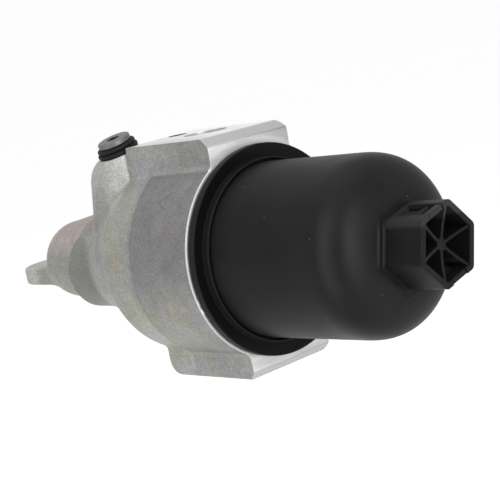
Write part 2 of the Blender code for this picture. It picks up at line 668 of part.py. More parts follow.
def make_bowl_ring(bore, finish):
    """The bowl's sealing ring, round in section, lying in the collar's groove."""
    half = RING_SECTION / 2
    centre = LAND_RADIUS - SEAT_GAP - half
    along = -SEAT_DEPTH - LAND_LENGTH / 2
    points = []
    for step in range(8):
        angle = 2 * math.pi * step / 8
        points.append((centre + half * math.cos(angle), along - half * math.sin(angle)))
    return solid("bowl_seal_ring", turned(points, LARGE_FACETS), finish, bore)


def pleat_ring(outer, inner):
    """One boundary of the pleated paper: flat folds outside and inside."""
    points = []
    pitch = 2 * math.pi / PLEAT_COUNT
    for fold in range(PLEAT_COUNT):
        for radius, share in ((outer, -0.08), (outer, 0.08), (inner, 0.42), (inner, 0.58)):
            angle = pitch * (fold + share)
            points.append((radius * math.cos(angle), radius * math.sin(angle)))
    return points


def pleated_paper(low, high):
    """The folded filter paper as one closed zigzag band."""
    shape = bmesh.new()
    loops = []
    for offset in (0.0, PAPER_OFFSET):
        outline = pleat_ring(PLEAT_OUTER - offset, PLEAT_INNER - offset)
        for height in (low, high):
            loops.append([shape.verts.new((x, y, height)) for x, y in outline])
    outer_low, outer_high, inner_low, inner_high = loops
    count = len(outer_low)
    for index in range(count):
        after = (index + 1) % count
        shape.faces.new((outer_low[index], outer_low[after], outer_high[after], outer_high[index]))
        shape.faces.new((inner_low[after], inner_low[index], inner_high[index], inner_high[after]))
        shape.faces.new((outer_high[index], outer_high[after], inner_high[after], inner_high[index]))
        shape.faces.new((outer_low[after], outer_low[index], inner_low[index], inner_low[after]))
    return shape


def make_element(bore, metal, paper, rubber):
    """The filter element: two end caps, pleated paper, slotted core and a rubber grommet."""
    rear = SEAT_GAP + CAP_THICKNESS - CHAMBER_DEPTH
    low = rear + CAP_THICKNESS + SEAT_GAP
    high = ELEMENT_FRONT - SEAT_GAP
    rim = CAP_THICKNESS / 2
    hole = CAP_HOLE_RADIUS
    cup = ELEMENT_RADIUS - rim / 2
    rear_cap = [(hole, rear), (ELEMENT_RADIUS, rear), (ELEMENT_RADIUS, rear + CAP_RIM), (cup, rear + CAP_RIM),
                (cup, rear + CAP_THICKNESS), (hole, rear + CAP_THICKNESS)]
    solid("element_rear_cap", turned(rear_cap, LARGE_FACETS), metal, bore)
    front = ELEMENT_FRONT + CAP_THICKNESS
    spigot = ELEMENT_RING_RADIUS - ELEMENT_RING_WALL - SEAT_GAP
    front_cap = [(0.0, ELEMENT_FRONT), (cup, ELEMENT_FRONT), (cup, front - CAP_RIM),
                 (ELEMENT_RADIUS, front - CAP_RIM), (ELEMENT_RADIUS, front), (spigot, front),
                 (spigot, front + CAP_RIM), (spigot - rim, front + CAP_RIM), (spigot - rim, front),
                 (0.0, front)]
    solid("element_front_cap", turned(front_cap, LARGE_FACETS), metal, bore)
    solid("element_paper", pleated_paper(low, high), paper, bore)
    core_bore = CORE_RADIUS - CORE_WALL
    core = [(core_bore, low), (CORE_RADIUS, low), (CORE_RADIUS, high), (core_bore, high)]
    tube = solid("element_core", turned(core, MEDIUM_FACETS), metal, bore)
    pitch = (high - low) / CORE_SLOTS
    half = CORE_RADIUS * 0.3
    reach = 2 * CORE_RADIUS
    for index in range(CORE_SLOTS):
        middle = low + pitch * (index + 0.5)
        slot = prism([(-reach, -half), (reach, -half), (reach, half), (-reach, half)],
                     middle - pitch * 0.3, middle + pitch * 0.3, along_bore)
        cut = solid("core_slot_%d" % (index + 1), slot, None, bore)
        cut.rotation_euler = (0.0, 0.0, index * 60 * DEG)
        combine(tube, cut, "DIFFERENCE")
    lip = PIPE_RADIUS + SEAT_GAP
    neck = hole - SEAT_GAP
    foot = SEAT_GAP - CHAMBER_DEPTH
    grommet = [(lip, foot), (CORE_RADIUS, foot), (CORE_RADIUS, rear - SEAT_GAP), (neck, rear - SEAT_GAP),
               (neck, rear + CAP_THICKNESS), (lip, rear + CAP_THICKNESS)]
    solid("element_rear_grommet", turned(grommet, MEDIUM_FACETS), rubber, bore)


def make_standpipe(bore, finish):
    """The windowed standpipe that the element slides over."""
    inner = PIPE_RADIUS - PIPE_WALL
    shoulder = inner - PIPE_SHOULDER
    rear = SEAT_GAP - CHAMBER_DEPTH - STANDPIPE_SEAT
    valve_length = BYPASS_SEAT_LENGTH + BYPASS_DISC_THICKNESS + BYPASS_SPRING_LENGTH + 3 * SEAT_GAP
    valve_end = PIPE_FRONT - valve_length
    tube = [(inner, rear), (PIPE_RADIUS, rear), (PIPE_RADIUS, PIPE_FRONT), (inner, PIPE_FRONT),
            (inner, valve_end), (shoulder, valve_end), (shoulder, valve_end - PIPE_SHOULDER),
            (inner, valve_end - 2 * PIPE_SHOULDER)]
    pipe = solid("standpipe", turned(tube, MEDIUM_FACETS), finish, bore)
    room = valve_end - 2 * PIPE_SHOULDER + CHAMBER_DEPTH
    half = PIPE_WINDOW_WIDTH / 2
    reach = 2 * PIPE_RADIUS
    for index in range(4):
        middle = -CHAMBER_DEPTH + room * (0.3 if index < 2 else 0.72)
        window = prism([(-reach, -half), (reach, -half), (reach, half), (-reach, half)],
                       middle - PIPE_WINDOW_LENGTH / 2, middle + PIPE_WINDOW_LENGTH / 2, along_bore)
        cut = solid("pipe_window_%d" % (index + 1), window, None, bore)
        cut.rotation_euler = (0.0, 0.0, (45 + 90 * index) * DEG)
        combine(pipe, cut, "DIFFERENCE")


def make_bypass_valve(bore, metal, spring_metal):
    """Bypass valve in the standpipe's front end: seat ring, disc and spring."""
    outer = PIPE_RADIUS - PIPE_WALL - SEAT_GAP
    low = PIPE_FRONT - BYPASS_SEAT_LENGTH
    seat = [(BYPASS_BORE, low), (outer, low), (outer, PIPE_FRONT), (BYPASS_BORE, PIPE_FRONT)]
    solid("bypass_seat", turned(seat, SMALL_FACETS), metal, bore)
    top = low - SEAT_GAP
    base = top - BYPASS_DISC_THICKNESS
    guide = BYPASS_BORE
    disc = [(0.0, base - guide / 2), (guide, base - guide / 2), (guide, base), (BYPASS_DISC_RADIUS, base),
            (BYPASS_DISC_RADIUS, top), (0.0, top)]
    solid("bypass_disc", turned(disc, SMALL_FACETS), metal, bore)
    radius = BYPASS_DISC_RADIUS - WIRE_RADIUS
    spring = coil(radius, base - SEAT_GAP - BYPASS_SPRING_LENGTH, base - SEAT_GAP, WIRE_RADIUS, SPRING_TURNS)
    solid("bypass_spring", spring, spring_metal, bore)


def make_relief_valve(bore, metal, spring_metal):
    """Pressure relief valve in the rear bore: stop ring, hollow piston and spring."""
    outer = RELIEF_BORE_RADIUS - SEAT_GAP
    front = -CLEAN_BORE_END - SEAT_GAP
    back = front - RELIEF_RING_LENGTH
    ring = [(RELIEF_RING_BORE, back), (outer, back), (outer, front), (RELIEF_RING_BORE, front)]
    solid("relief_stop_ring", turned(ring, SMALL_FACETS), metal, bore)
    head = back - SEAT_GAP
    skirt = head - RELIEF_PISTON_LENGTH
    sliding = RELIEF_BORE_RADIUS - RELIEF_FIT
    hollow = sliding - RELIEF_PISTON_WALL
    inner_face = head - 2 * RELIEF_PISTON_WALL
    piston = [(0.0, inner_face), (hollow, inner_face), (hollow, skirt), (sliding, skirt), (sliding, head),
              (0.0, head)]
    solid("relief_piston", turned(piston, SMALL_FACETS), metal, bore)
    low = -CLEAN_BORE_END - RELIEF_BORE_LENGTH + SEAT_GAP
    spring = coil(hollow - WIRE_RADIUS - SEAT_GAP, low, inner_face - SEAT_GAP, WIRE_RADIUS, SPRING_TURNS)
    solid("relief_spring", spring, spring_metal, bore)


def make_inlet_valve(inlet, metal, rubber, spring_metal):
    """Non-return valve in the inlet port: seat ring, disc, spring and slotted cage."""
    outer = INLET_SEAT_RADIUS - SEAT_GAP
    top = -INLET_SEAT_TOP
    base = top - INLET_SEAT_THICKNESS
    seat = [(INLET_SEAT_BORE, base), (outer, base), (outer, top), (INLET_SEAT_BORE, top)]
    solid("inlet_valve_seat", turned(seat, SMALL_FACETS), metal, inlet)
    disc_top = base - SEAT_GAP
    disc_base = disc_top - INLET_DISC_THICKNESS
    disc = [(0.0, disc_base), (INLET_DISC_RADIUS, disc_base), (INLET_DISC_RADIUS, disc_top), (0.0, disc_top)]
    solid("inlet_valve_disc", turned(disc, SMALL_FACETS), rubber, inlet)
    cage_top = base - SEAT_GAP
    cage_low = cage_top - INLET_CAGE_DEPTH
    wall = INLET_CAGE_WALL
    floor = cage_low + wall
    cage = [(WIRE_RADIUS * 3, cage_low), (outer, cage_low), (outer, cage_top), (outer - wall, cage_top),
            (outer - wall, floor), (WIRE_RADIUS * 3, floor)]
    basket = solid("inlet_valve_cage", turned(cage, SMALL_FACETS), metal, inlet)
    half = INLET_SEAT_BORE / 3
    near, reach = INLET_SEAT_BORE * 0.75, outer - wall * 1.5
    slot_low, slot_high = cage_low - THROUGH, cage_top - 2 * wall
    for index in range(4):
        slot = prism([(near, -half / 2), (reach, -half), (reach, half), (near, half / 2)],
                     slot_low, slot_high, upright)
        cut = solid("cage_slot_%d" % (index + 1), slot, None, inlet)
        cut.rotation_euler = (0.0, 0.0, (45 + 90 * index) * DEG)
        combine(basket, cut, "DIFFERENCE")
    low, high = floor + SEAT_GAP, disc_base - SEAT_GAP
    spring = coil(INLET_SEAT_BORE * 0.6, low, high, LIGHT_WIRE_RADIUS, LIGHT_SPRING_TURNS)
    solid("inlet_valve_spring", spring, spring_metal, inlet)


def make_plug(plug, metal, rubber):
    """Screw plug with a six-lobe socket, on a rubber seal with two lips."""
    half = SEAL_HEIGHT / 2
    bore_radius = PLUG_SHANK_RADIUS + SEAT_GAP
    base = SEAT_GAP
    top = base + SEAL_HEIGHT
    waist = SEAL_UPPER_RADIUS - SEAL_WAIST
    seal = [(bore_radius, base), (SEAL_LIP_RADIUS - SEAL_WAIST / 2, base),
            (SEAL_LIP_RADIUS, base + half * 0.3), (SEAL_LIP_RADIUS, base + half * 0.7), (waist, base + half),
            (SEAL_UPPER_RADIUS, base + half * 1.3), (SEAL_UPPER_RADIUS, base + half * 1.7),
            (waist, top), (bore_radius, top)]
    solid("plug_seal", turned(seal, MEDIUM_FACETS), rubber, plug)
    low = top + SEAT_GAP
    high = low + PLUG_HEAD_HEIGHT
    edge = PLUG_HEAD_EDGE
    tip = -PLUG_SHANK_LENGTH
    body = [(0.0, tip), (PLUG_SHANK_RADIUS - 2 * edge, tip), (PLUG_SHANK_RADIUS, tip + 2 * edge),
            (PLUG_SHANK_RADIUS, low), (PLUG_HEAD_RADIUS - edge / 2, low), (PLUG_HEAD_RADIUS, low + edge / 2),
            (PLUG_HEAD_RADIUS, high - edge), (PLUG_HEAD_RADIUS - edge, high), (0.0, high)]
    screw = solid("plug", turned(body, MEDIUM_FACETS), metal, plug)
    outline = []
    for step in range(36):
        angle = 2 * math.pi * step / 36
        radius = PLUG_SOCKET_RADIUS - PLUG_SOCKET_LOBE * (1 + math.cos(6 * angle)) / 2
        outline.append((radius * math.cos(angle), radius * math.sin(angle)))
    socket = prism(outline, high - PLUG_SOCKET_DEPTH, high + THROUGH, upright)
    combine(screw, solid("socket_cut", socket, None, plug), "DIFFERENCE")


def build():
    clear_scene()
    cast = material("cast_aluminium", (0.36, 0.36, 0.34), 0.55, 0.6)
    black = material("black_moulding", (0.025, 0.025, 0.027), 0.5, 0.0)
    rubber = material("black_rubber", (0.015, 0.015, 0.015), 0.7, 0.0)
    steel = material("zinc_plated_steel", (0.45, 0.45, 0.45), 0.4, 0.9)
    tin = material("tin_plate", (0.55, 0.55, 0.56), 0.35, 0.9)
    paper = material("filter_paper", (0.62, 0.52, 0.33), 0.9, 0.0)
    wire = material("spring_steel", (0.3, 0.3, 0.31), 0.35, 0.95)

    bore = empty("bowl_axis", (FACE_BACK, 0.0, -AXIS_DROP), (0.0, math.pi / 2, 0.0))
    casting = empty("casting_frame", (FACE_BACK, 0.0, -AXIS_DROP))
    plug_seat = (FACE_BACK - PLUG_BACK, PLUG_SIDE, PLUG_SEAT_RISE - AXIS_DROP)
    plug = empty("plug_axis", plug_seat, (PLUG_TILT, 0.0, 0.0))
    inlet = empty("inlet_axis", (FACE_BACK - INLET_BACK, INLET_SIDE, 0.0))

    make_housing(bore, casting, plug, cast)
    make_bowl(bore, black)
    make_bowl_ring(bore, rubber)
    make_element(bore, tin, paper, rubber)
    make_standpipe(bore, steel)
    make_bypass_valve(bore, steel, wire)
    make_relief_valve(bore, steel, wire)
    make_inlet_valve(inlet, steel, rubber, wire)
    make_plug(plug, steel, rubber)


build()
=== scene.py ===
import math

import bmesh
import bpy
import numpy as np
from mathutils import Matrix, Vector


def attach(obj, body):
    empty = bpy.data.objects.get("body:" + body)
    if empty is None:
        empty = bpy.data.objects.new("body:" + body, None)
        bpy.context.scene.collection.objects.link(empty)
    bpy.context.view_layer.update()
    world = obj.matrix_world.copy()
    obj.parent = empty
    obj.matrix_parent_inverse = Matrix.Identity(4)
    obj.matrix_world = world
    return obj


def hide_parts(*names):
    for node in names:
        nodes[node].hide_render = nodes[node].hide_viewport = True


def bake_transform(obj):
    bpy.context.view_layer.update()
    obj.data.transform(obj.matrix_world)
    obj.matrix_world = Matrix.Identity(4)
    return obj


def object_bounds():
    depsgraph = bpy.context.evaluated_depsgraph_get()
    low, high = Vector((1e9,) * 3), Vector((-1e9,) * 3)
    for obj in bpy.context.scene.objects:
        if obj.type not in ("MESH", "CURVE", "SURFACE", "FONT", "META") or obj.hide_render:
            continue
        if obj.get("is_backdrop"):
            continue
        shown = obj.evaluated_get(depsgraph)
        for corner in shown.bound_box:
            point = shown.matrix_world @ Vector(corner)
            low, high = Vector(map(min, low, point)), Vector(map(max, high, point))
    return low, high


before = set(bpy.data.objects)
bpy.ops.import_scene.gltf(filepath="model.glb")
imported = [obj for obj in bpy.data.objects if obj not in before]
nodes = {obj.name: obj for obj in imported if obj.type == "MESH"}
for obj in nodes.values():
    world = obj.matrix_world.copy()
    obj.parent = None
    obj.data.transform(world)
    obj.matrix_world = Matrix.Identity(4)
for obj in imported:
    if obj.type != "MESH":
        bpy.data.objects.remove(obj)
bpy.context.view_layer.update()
MM = 0.001

# The casting's own frame in millimetres: along from the front face, side, up from the bowl's axis
FACE_BACK = 14.0
AXIS_DROP = 56.0

# Barrel and rear end: places along and the radii there
BARREL_RADIUS = 49.2
BAND_END = -41.6
BARREL_END, BARREL_END_RADIUS = -60.0, 47.0
CONE_START, CONE_RADIUS = -90.5, 31.8
REAR_START, REAR_RADIUS = -102.5, 25.8
REAR_END = -163.2
NOSE_RADIUS, NOSE_ROUND, NOSE_LENGTH = 20.3, 13.6, 17.3
REAR_DROOP = 0.036

# Block that carries the mounting face: the cast stock, then the machined faces
BLOCK_HALF = 24.4
BLOCK_BACK, BLOCK_FRONT = -60.5, 5.0
BLOCK_FOOT, BLOCK_STOCK = -55.0, 58.8
FOOT_CORNER, FAR_CORNER = 7.0, 4.5
MOUNT_FACE = AXIS_DROP
MOUNT_FACE_BACK = -61.8
TOP_BEVEL = 4.0
FOOT_BEVEL_TOP = -51.3
BEYOND, FAR_BACK = 80.0, -200.0

# Rear boss, valve tower with its gallery, plug boss and ear
REAR_BOSS_SIDE, REAR_BOSS_UP, REAR_BOSS_RADIUS = -10.0, -4.2, 20.2
REAR_BOSS_SPAN = (-119.5, -70.0)
TOWER_ALONG, TOWER_SIDE = -94.5, -3.0
TOWER_FOOT_RADIUS, TOWER_RADIUS, TOWER_CROWN = 21.6, 15.6, 13.0
TOWER_SHOULDER, TOWER_CROWN_START = 41.0, 39.0
GALLERY_SPAN = (-94.5, -57.0)
GALLERY_SIDES, GALLERY_TOP, GALLERY_CORNER = (-15.5, 9.5), 46.0, 12.4
PLUG_BACK, PLUG_SIDE, PLUG_RISE, PLUG_TILT = 70.2, -19.75, 54.0, math.radians(15)
PLUG_BOSS_FOOT, PLUG_BOSS_RADIUS, PLUG_BOSS_TOP = 10.2, 9.9, 57.2
EAR_ROOT, EAR_ALONG, EAR_RADIUS = -140.0, -172.0, 18.5
EAR_UP, EAR_HALF = -7.8, 4.3

# Fillets where the cast forms meet, and the edge round of each form
BLOCK_FILLET, GALLERY_FILLET, TOWER_FILLET, PLUG_BOSS_FILLET, EAR_FILLET = 1.6, 2.5, 1.6, 1.2, 2.5
REAR_BOSS_FILLET, REAR_BOSS_FILLET_GAIN = 1.2, 4.8
REAR_BOSS_FILLET_START, REAR_BOSS_FILLET_LENGTH = -112.0, 12.0
BLOCK_EDGE, REAR_BOSS_EDGE, GALLERY_EDGE, PLUG_BOSS_EDGE, EAR_EDGE = 2.0, 0.5, 1.0, 0.5, 1.3

# Ports: the inlet's place, and the slanted outlet from the bowl's axis up to the mounting face
INLET_ALONG, INLET_SIDE = -33.0, 4.0
OUTLET_TOP, OUTLET_FOOT = Vector((-54.9, 5.0, MOUNT_FACE)), Vector((-80.0, 0.0, 0.0))
OUTLET_RADIUS = 4.4

# Bowl: heights along its axis from the front face, and the hexagons' widths across flats
BOWL_RADIUS, BOWL_WALL = 39.7, 3.0
DOME_START, DOME_LENGTH, DOME_POWER = 60.2, 25.7, 3.03
HEX_TURN = math.radians(-15.9)
KEY_ROOT, KEY_TOP, KEY_CLEAR = 78.0, 105.3, 107.0
KEY_FLATS, KEY_CORNER = 32.0, 2.6
PAD_FLATS, PAD_CORNER, PAD_TOP = 38.4, 3.0, 85.3
POCKET_FLATS, POCKET_CORNER, POCKET_FLOOR = 27.0, 1.5, 86.4
WINDOW_REACH, WINDOW_LOW, WINDOW_HALF = (12.0, 24.0), 87.0, 4.9
RIB_ROOT, RIB_HALF, RIB_RISE = 84.9, 0.65, 2.9
HUB_RADIUS, HUB_TOP = 2.7, 101.9
TONGUE_HALF = 4.3
# Sixths of a turn where a window with its tongue stands
TONGUE_TURNS = (0.5, 3.5)

# Plug and seal, up from the seat
SEAT_GAP = 0.3
SEAL_TOP = SEAT_GAP + 4.2
HEAD_FOOT = SEAL_TOP + SEAT_GAP
HEAD_TOP = HEAD_FOOT + 2.4
SOCKET_RADIUS, SOCKET_LOBE, SOCKET_DEPTH, SOCKET_POINTS = 3.3, 0.75, 3.2, 72

# Hand-drawn mark on the barrel: strokes of (along, degrees round the barrel)
MARK_STROKES = [[(-25.3, 39.7), (-22.7, 41.5), (-17.2, 45.5)], [(-25.3, 39.7), (-18.0, 35.0)],
                [(-19.2, 38.0), (-20.7, 40.2), (-20.7, 41.9), (-19.0, 43.3)]]
MARK_HALF = 0.28
MARK_RADIUS = BARREL_RADIUS + 0.03

# Facets of turned shapes, and the skin's grid
FINE = 192
ROUND = 96
SMALL = 64
SKIN_STEP = 1.15
SKIN_LOW, SKIN_HIGH = (-194.0, -54.0, -58.0), (6.2, 54.0, 60.0)


def to_row(points):
    """Casting-frame millimetres to row-frame metres."""
    return (np.asarray(points, float) + (FACE_BACK, 0.0, -AXIS_DROP)) * MM


def from_row(points):
    """Row-frame metres to casting-frame millimetres."""
    return np.asarray(points, float) / MM - (FACE_BACK, 0.0, -AXIS_DROP)


# Meshes

def add_mesh(name, points, faces):
    mesh = bpy.data.meshes.new(name)
    mesh.from_pydata([tuple(p) for p in points], [], [tuple(f) for f in faces])
    mesh.validate()
    made = bpy.data.objects.new(name, mesh)
    bpy.context.collection.objects.link(made)
    return made


def bm_object(name, shape, place=None, slot=None, looks=None):
    """An object from a bmesh in millimetres; a cutter's slot is the material that its faces leave."""
    bmesh.ops.remove_doubles(shape, verts=shape.verts, dist=0.002)
    bmesh.ops.recalc_face_normals(shape, faces=shape.faces)
    for face in shape.faces:
        face.material_index = slot or 0
    mesh = bpy.data.meshes.new(name)
    shape.to_mesh(mesh)
    shape.free()
    made = bpy.data.objects.new(name, mesh)
    bpy.context.collection.objects.link(made)
    if place is not None:
        mesh.transform(place)
    if slot is not None:
        for look in looks or CASTING_LOOKS:
            mesh.materials.append(look)
    return made


def lathe(outline, facets):
    """Spin a closed outline of (radius, height) round Z."""
    shape = bmesh.new()
    ring = [shape.verts.new((radius, 0.0, height)) for radius, height in outline]
    edges = [shape.edges.new((a, b)) for a, b in zip(ring, ring[1:] + ring[:1])
             if a.co.x > 1e-6 or b.co.x > 1e-6]
    bmesh.ops.spin(shape, geom=ring + edges, cent=(0, 0, 0), axis=(0, 0, 1),
                   angle=2 * math.pi, steps=facets, use_merge=True)
    return shape


def prism(outline, low, high):
    """Extrude a closed outline of (x, y) points from height low to high."""
    shape = bmesh.new()
    base = shape.faces.new([shape.verts.new((u, v, low)) for u, v in outline])
    raised = bmesh.ops.extrude_face_region(shape, geom=[base])["geom"]
    bmesh.ops.translate(shape, vec=(0, 0, high - low),
                        verts=[v for v in raised if isinstance(v, bmesh.types.BMVert)])
    return shape


def rectangle(low_u, high_u, low_v, high_v):
    return [(low_u, low_v), (high_u, low_v), (high_u, high_v), (low_u, high_v)]


def rounded(corners, radii, steps=6):
    """Round each corner of an outline with an arc of its own radius."""
    points = []
    count = len(corners)
    for index, (corner, radius) in enumerate(zip(corners, radii)):
        here = Vector(corner)
        to_last = (Vector(corners[index - 1]) - here).normalized()
        to_next = (Vector(corners[(index + 1) % count]) - here).normalized()
        if radius <= 0.0:
            points.append(tuple(here))
            continue
        half = to_last.angle(to_next) / 2
        reach = radius / math.tan(half)
        centre = here + (to_last + to_next).normalized() * (radius / math.sin(half))
        start = here + to_last * reach - centre
        turn = start.angle_signed(here + to_next * reach - centre)
        for step in range(steps + 1):
            angle = -turn * step / steps
            cosine, sine = math.cos(angle), math.sin(angle)
            points.append(tuple(centre + Vector((start.x * cosine - start.y * sine,
                                                 start.x * sine + start.y * cosine))))
    return points


def bezier(start, pull_a, pull_b, end, steps):
    """Points of a curve after its start."""
    points = []
    for step in range(1, steps + 1):
        t = step / steps
        weights = ((1 - t) ** 3, 3 * t * (1 - t) ** 2, 3 * t * t * (1 - t), t ** 3)
        points.append(tuple(sum(w * k[axis] for w, k in zip(weights, (start, pull_a, pull_b, end)))
                            for axis in (0, 1)))
    return points


def apply_all(target):
    """Bake an object's modifiers into its mesh."""
    graph = bpy.context.evaluated_depsgraph_get()
    baked = bpy.data.meshes.new_from_object(target.evaluated_get(graph))
    target.modifiers.clear()
    target.data = baked


def cut(target, tools, operation="DIFFERENCE"):
    """Boolean each tool into the target in turn, then remove the tools."""
    for tool in tools:
        step = target.modifiers.new("step", "BOOLEAN")
        step.operation = operation
        step.solver = "MANIFOLD"
        step.object = tool
    apply_all(target)
    for tool in tools:
        bpy.data.objects.remove(tool)


def smooth(target, degrees):
    target.data.shade_smooth()
    target.data.set_sharp_from_angle(angle=math.radians(degrees))


# Places: the bowl's axis is the local Z of turned pieces, local X points down
BORE = Matrix(((0, 0, MM, FACE_BACK * MM), (0, MM, 0, 0), (-MM, 0, 0, -AXIS_DROP * MM), (0, 0, 0, 1)))
CASTING = Matrix(((MM, 0, 0, FACE_BACK * MM), (0, MM, 0, 0), (0, 0, MM, -AXIS_DROP * MM), (0, 0, 0, 1)))
SIDEWAYS = CASTING @ Matrix.Rotation(math.pi / 2, 4, "X")
TURN_OUT = Matrix(((1, 0, 0, 0), (0, 0, -1, 0), (0, 1, 0, 0), (0, 0, 0, 1)))


def moved(along, side, up):
    """The casting's frame with its origin moved, in millimetres."""
    return CASTING @ Matrix.Translation((along, side, up))


PLUG = moved(-PLUG_BACK, PLUG_SIDE, PLUG_RISE) @ Matrix.Rotation(PLUG_TILT, 4, "X")


# Materials

def new_material(name):
    made = bpy.data.materials.new(name)
    made.use_nodes = True
    made.node_tree.nodes.clear()
    return made, made.node_tree


def grey(level):
    return (level, level, level)


class Graph:
    """Short helper for building a shader graph; places are object coordinates in metres."""

    def __init__(self, name):
        self.material, self.tree = new_material(name)
        output = self.node("ShaderNodeOutputMaterial")
        self.shader = self.node("ShaderNodeBsdfPrincipled")
        self.link(self.shader.outputs[0], output.inputs[0])
        self.coords = self.node("ShaderNodeTexCoord").outputs["Object"]

    def node(self, kind, **values):
        made = self.tree.nodes.new(kind)
        for key, value in values.items():
            setattr(made, key, value)
        return made

    def link(self, a, b):
        self.tree.links.new(a, b)

    def put(self, value, socket):
        """Link another node's output to a socket, or set the socket to a colour or a number."""
        if isinstance(value, bpy.types.NodeSocket):
            self.link(value, socket)
        elif isinstance(value, tuple):
            socket.default_value = (*value, 1.0)
        else:
            socket.default_value = value

    def noise(self, scale, detail, rough, stretch=None):
        made = self.node("ShaderNodeTexNoise")
        made.inputs["Scale"].default_value = scale
        made.inputs["Detail"].default_value = detail
        made.inputs["Roughness"].default_value = rough
        source = self.coords
        if stretch:
            mapping = self.node("ShaderNodeMapping")
            mapping.inputs["Scale"].default_value = stretch
            self.link(self.coords, mapping.inputs[0])
            source = mapping.outputs[0]
        self.link(source, made.inputs["Vector"])
        return made.outputs["Fac"]

    def ramp(self, source, stops):
        """Colour by value; a stop's colour is a tuple or one grey level."""
        made = self.node("ShaderNodeValToRGB")
        band = made.color_ramp
        while len(band.elements) < len(stops):
            band.elements.new(0.5)
        for element, (place, colour) in zip(band.elements, stops):
            element.position = place
            element.color = (*colour, 1.0) if isinstance(colour, tuple) else (*grey(colour), 1.0)
        self.link(source, made.inputs[0])
        return made.outputs[0]

    def mix(self, factor, a, b, mode="MIX"):
        made = self.node("ShaderNodeMix", data_type="RGBA", blend_type=mode)
        for socket, value in ((made.inputs[0], factor), (made.inputs[6], a), (made.inputs[7], b)):
            self.put(value, socket)
        return made.outputs[2]

    def scaled(self, colour, by):
        """One colour times another."""
        return self.mix(1.0, colour, by, "MULTIPLY")

    def math(self, operation, a, b=0.0):
        made = self.node("ShaderNodeMath", operation=operation)
        for socket, value in zip(made.inputs, (a, b)):
            self.put(value, socket)
        return made.outputs[0]

    def times(self, first, *others):
        """Product of numbers or masks."""
        for other in others:
            first = self.math("MULTIPLY", first, other)
        return first

    def inverse(self, mask):
        return self.math("SUBTRACT", 1.0, mask)

    def off(self, source, place):
        """Distance from a place, either way."""
        return self.math("ABSOLUTE", self.math("SUBTRACT", source, place))

    def step(self, source, low, high):
        """0 below low, 1 above high."""
        made = self.node("ShaderNodeMapRange", interpolation_type="SMOOTHSTEP")
        made.inputs["From Min"].default_value = low
        made.inputs["From Max"].default_value = high
        self.link(source, made.inputs["Value"])
        return made.outputs[0]

    def below(self, source, low, high):
        """1 below low, 0 above high."""
        return self.inverse(self.step(source, low, high))

    def between(self, source, low, high, soft=0.0002):
        """1 from low to high, 0 beyond."""
        return self.times(self.step(source, low - soft, low), self.below(source, high, high + soft))

    def axis(self, which):
        made = self.node("ShaderNodeSeparateXYZ")
        self.link(self.coords, made.inputs[0])
        return made.outputs[which]

    def block_mask(self):
        """0 on the block that carries the mounting face, 1 beside it."""
        return self.step(self.math("ABSOLUTE", self.axis(1)), 0.0257, 0.0261)

    def finish(self, colour, roughness, metallic=0.0, bump=None, strength=0.1, depth=0.0002, edge=0.0):
        """Set the shader: a bump with its strength and depth in metres, and the radius of rounded edges."""
        for name, value in (("Base Color", colour), ("Roughness", roughness), ("Metallic", metallic)):
            self.put(value, self.shader.inputs[name])
        normal = None
        if edge:
            bevel = self.node("ShaderNodeBevel", samples=6)
            bevel.inputs["Radius"].default_value = edge
            normal = bevel.outputs[0]
        if bump is not None:
            made = self.node("ShaderNodeBump")
            made.inputs["Strength"].default_value = strength
            made.inputs["Distance"].default_value = depth
            self.link(bump, made.inputs["Height"])
            if normal is not None:
                self.link(normal, made.inputs["Normal"])
            normal = made.outputs[0]
        if normal is not None:
            self.link(normal, self.shader.inputs["Normal"])
        return self.material


# Where the casting's tone and its painted light and shade change, matched to the photo: the two ends of each
# fade along X or up Z, in metres
FRONT_BAND = (-0.0270, -0.0266)
# Painted shade: the front band is darker on its top and at its foot, partly the band's own darker tone and
# partly shade where less light falls
FRONT_SHADE_UP, FRONT_FOOT_SHADE_UP = (-0.085, -0.048), (-0.105, -0.085)
REAR_TOP_ALONG, REAR_TOP_UP = (-0.104, -0.090), (-0.058, -0.040)
EAR_TONE_ALONG = (-0.156, -0.148)
# Painted light: the tower, its gallery and the plug boss are made lighter, as where the front light falls on
# them
LIT_BOSSES_ALONG, LIT_BOSSES_UP = (-0.0470, -0.0445), (-0.040, -0.012)
REAR_BOSS_BACK, REAR_BOSS_FRONT, REAR_BOSS_TOP = (-0.1057, -0.1053), (-0.085, -0.068), (-0.045, -0.030)
# Painted shade: the block's side is darker over its upper front part, as where less light falls
SHADED_FLANK_ALONG, SHADED_FLANK_UP = (-0.030, 0.0), (-0.050, -0.035)
# Painted light: the underside behind the front band is lighter, as where light comes up from below
UNDERLIT_BELLY_ALONG, UNDERLIT_BELLY_UP = (-0.075, -0.055), (-0.090, -0.060)
# The painted shade line in the step at the front band's end fades out on either side between these two
# distances
BAND_STEP_SHADE_LINE = (0.0001, 0.0008)


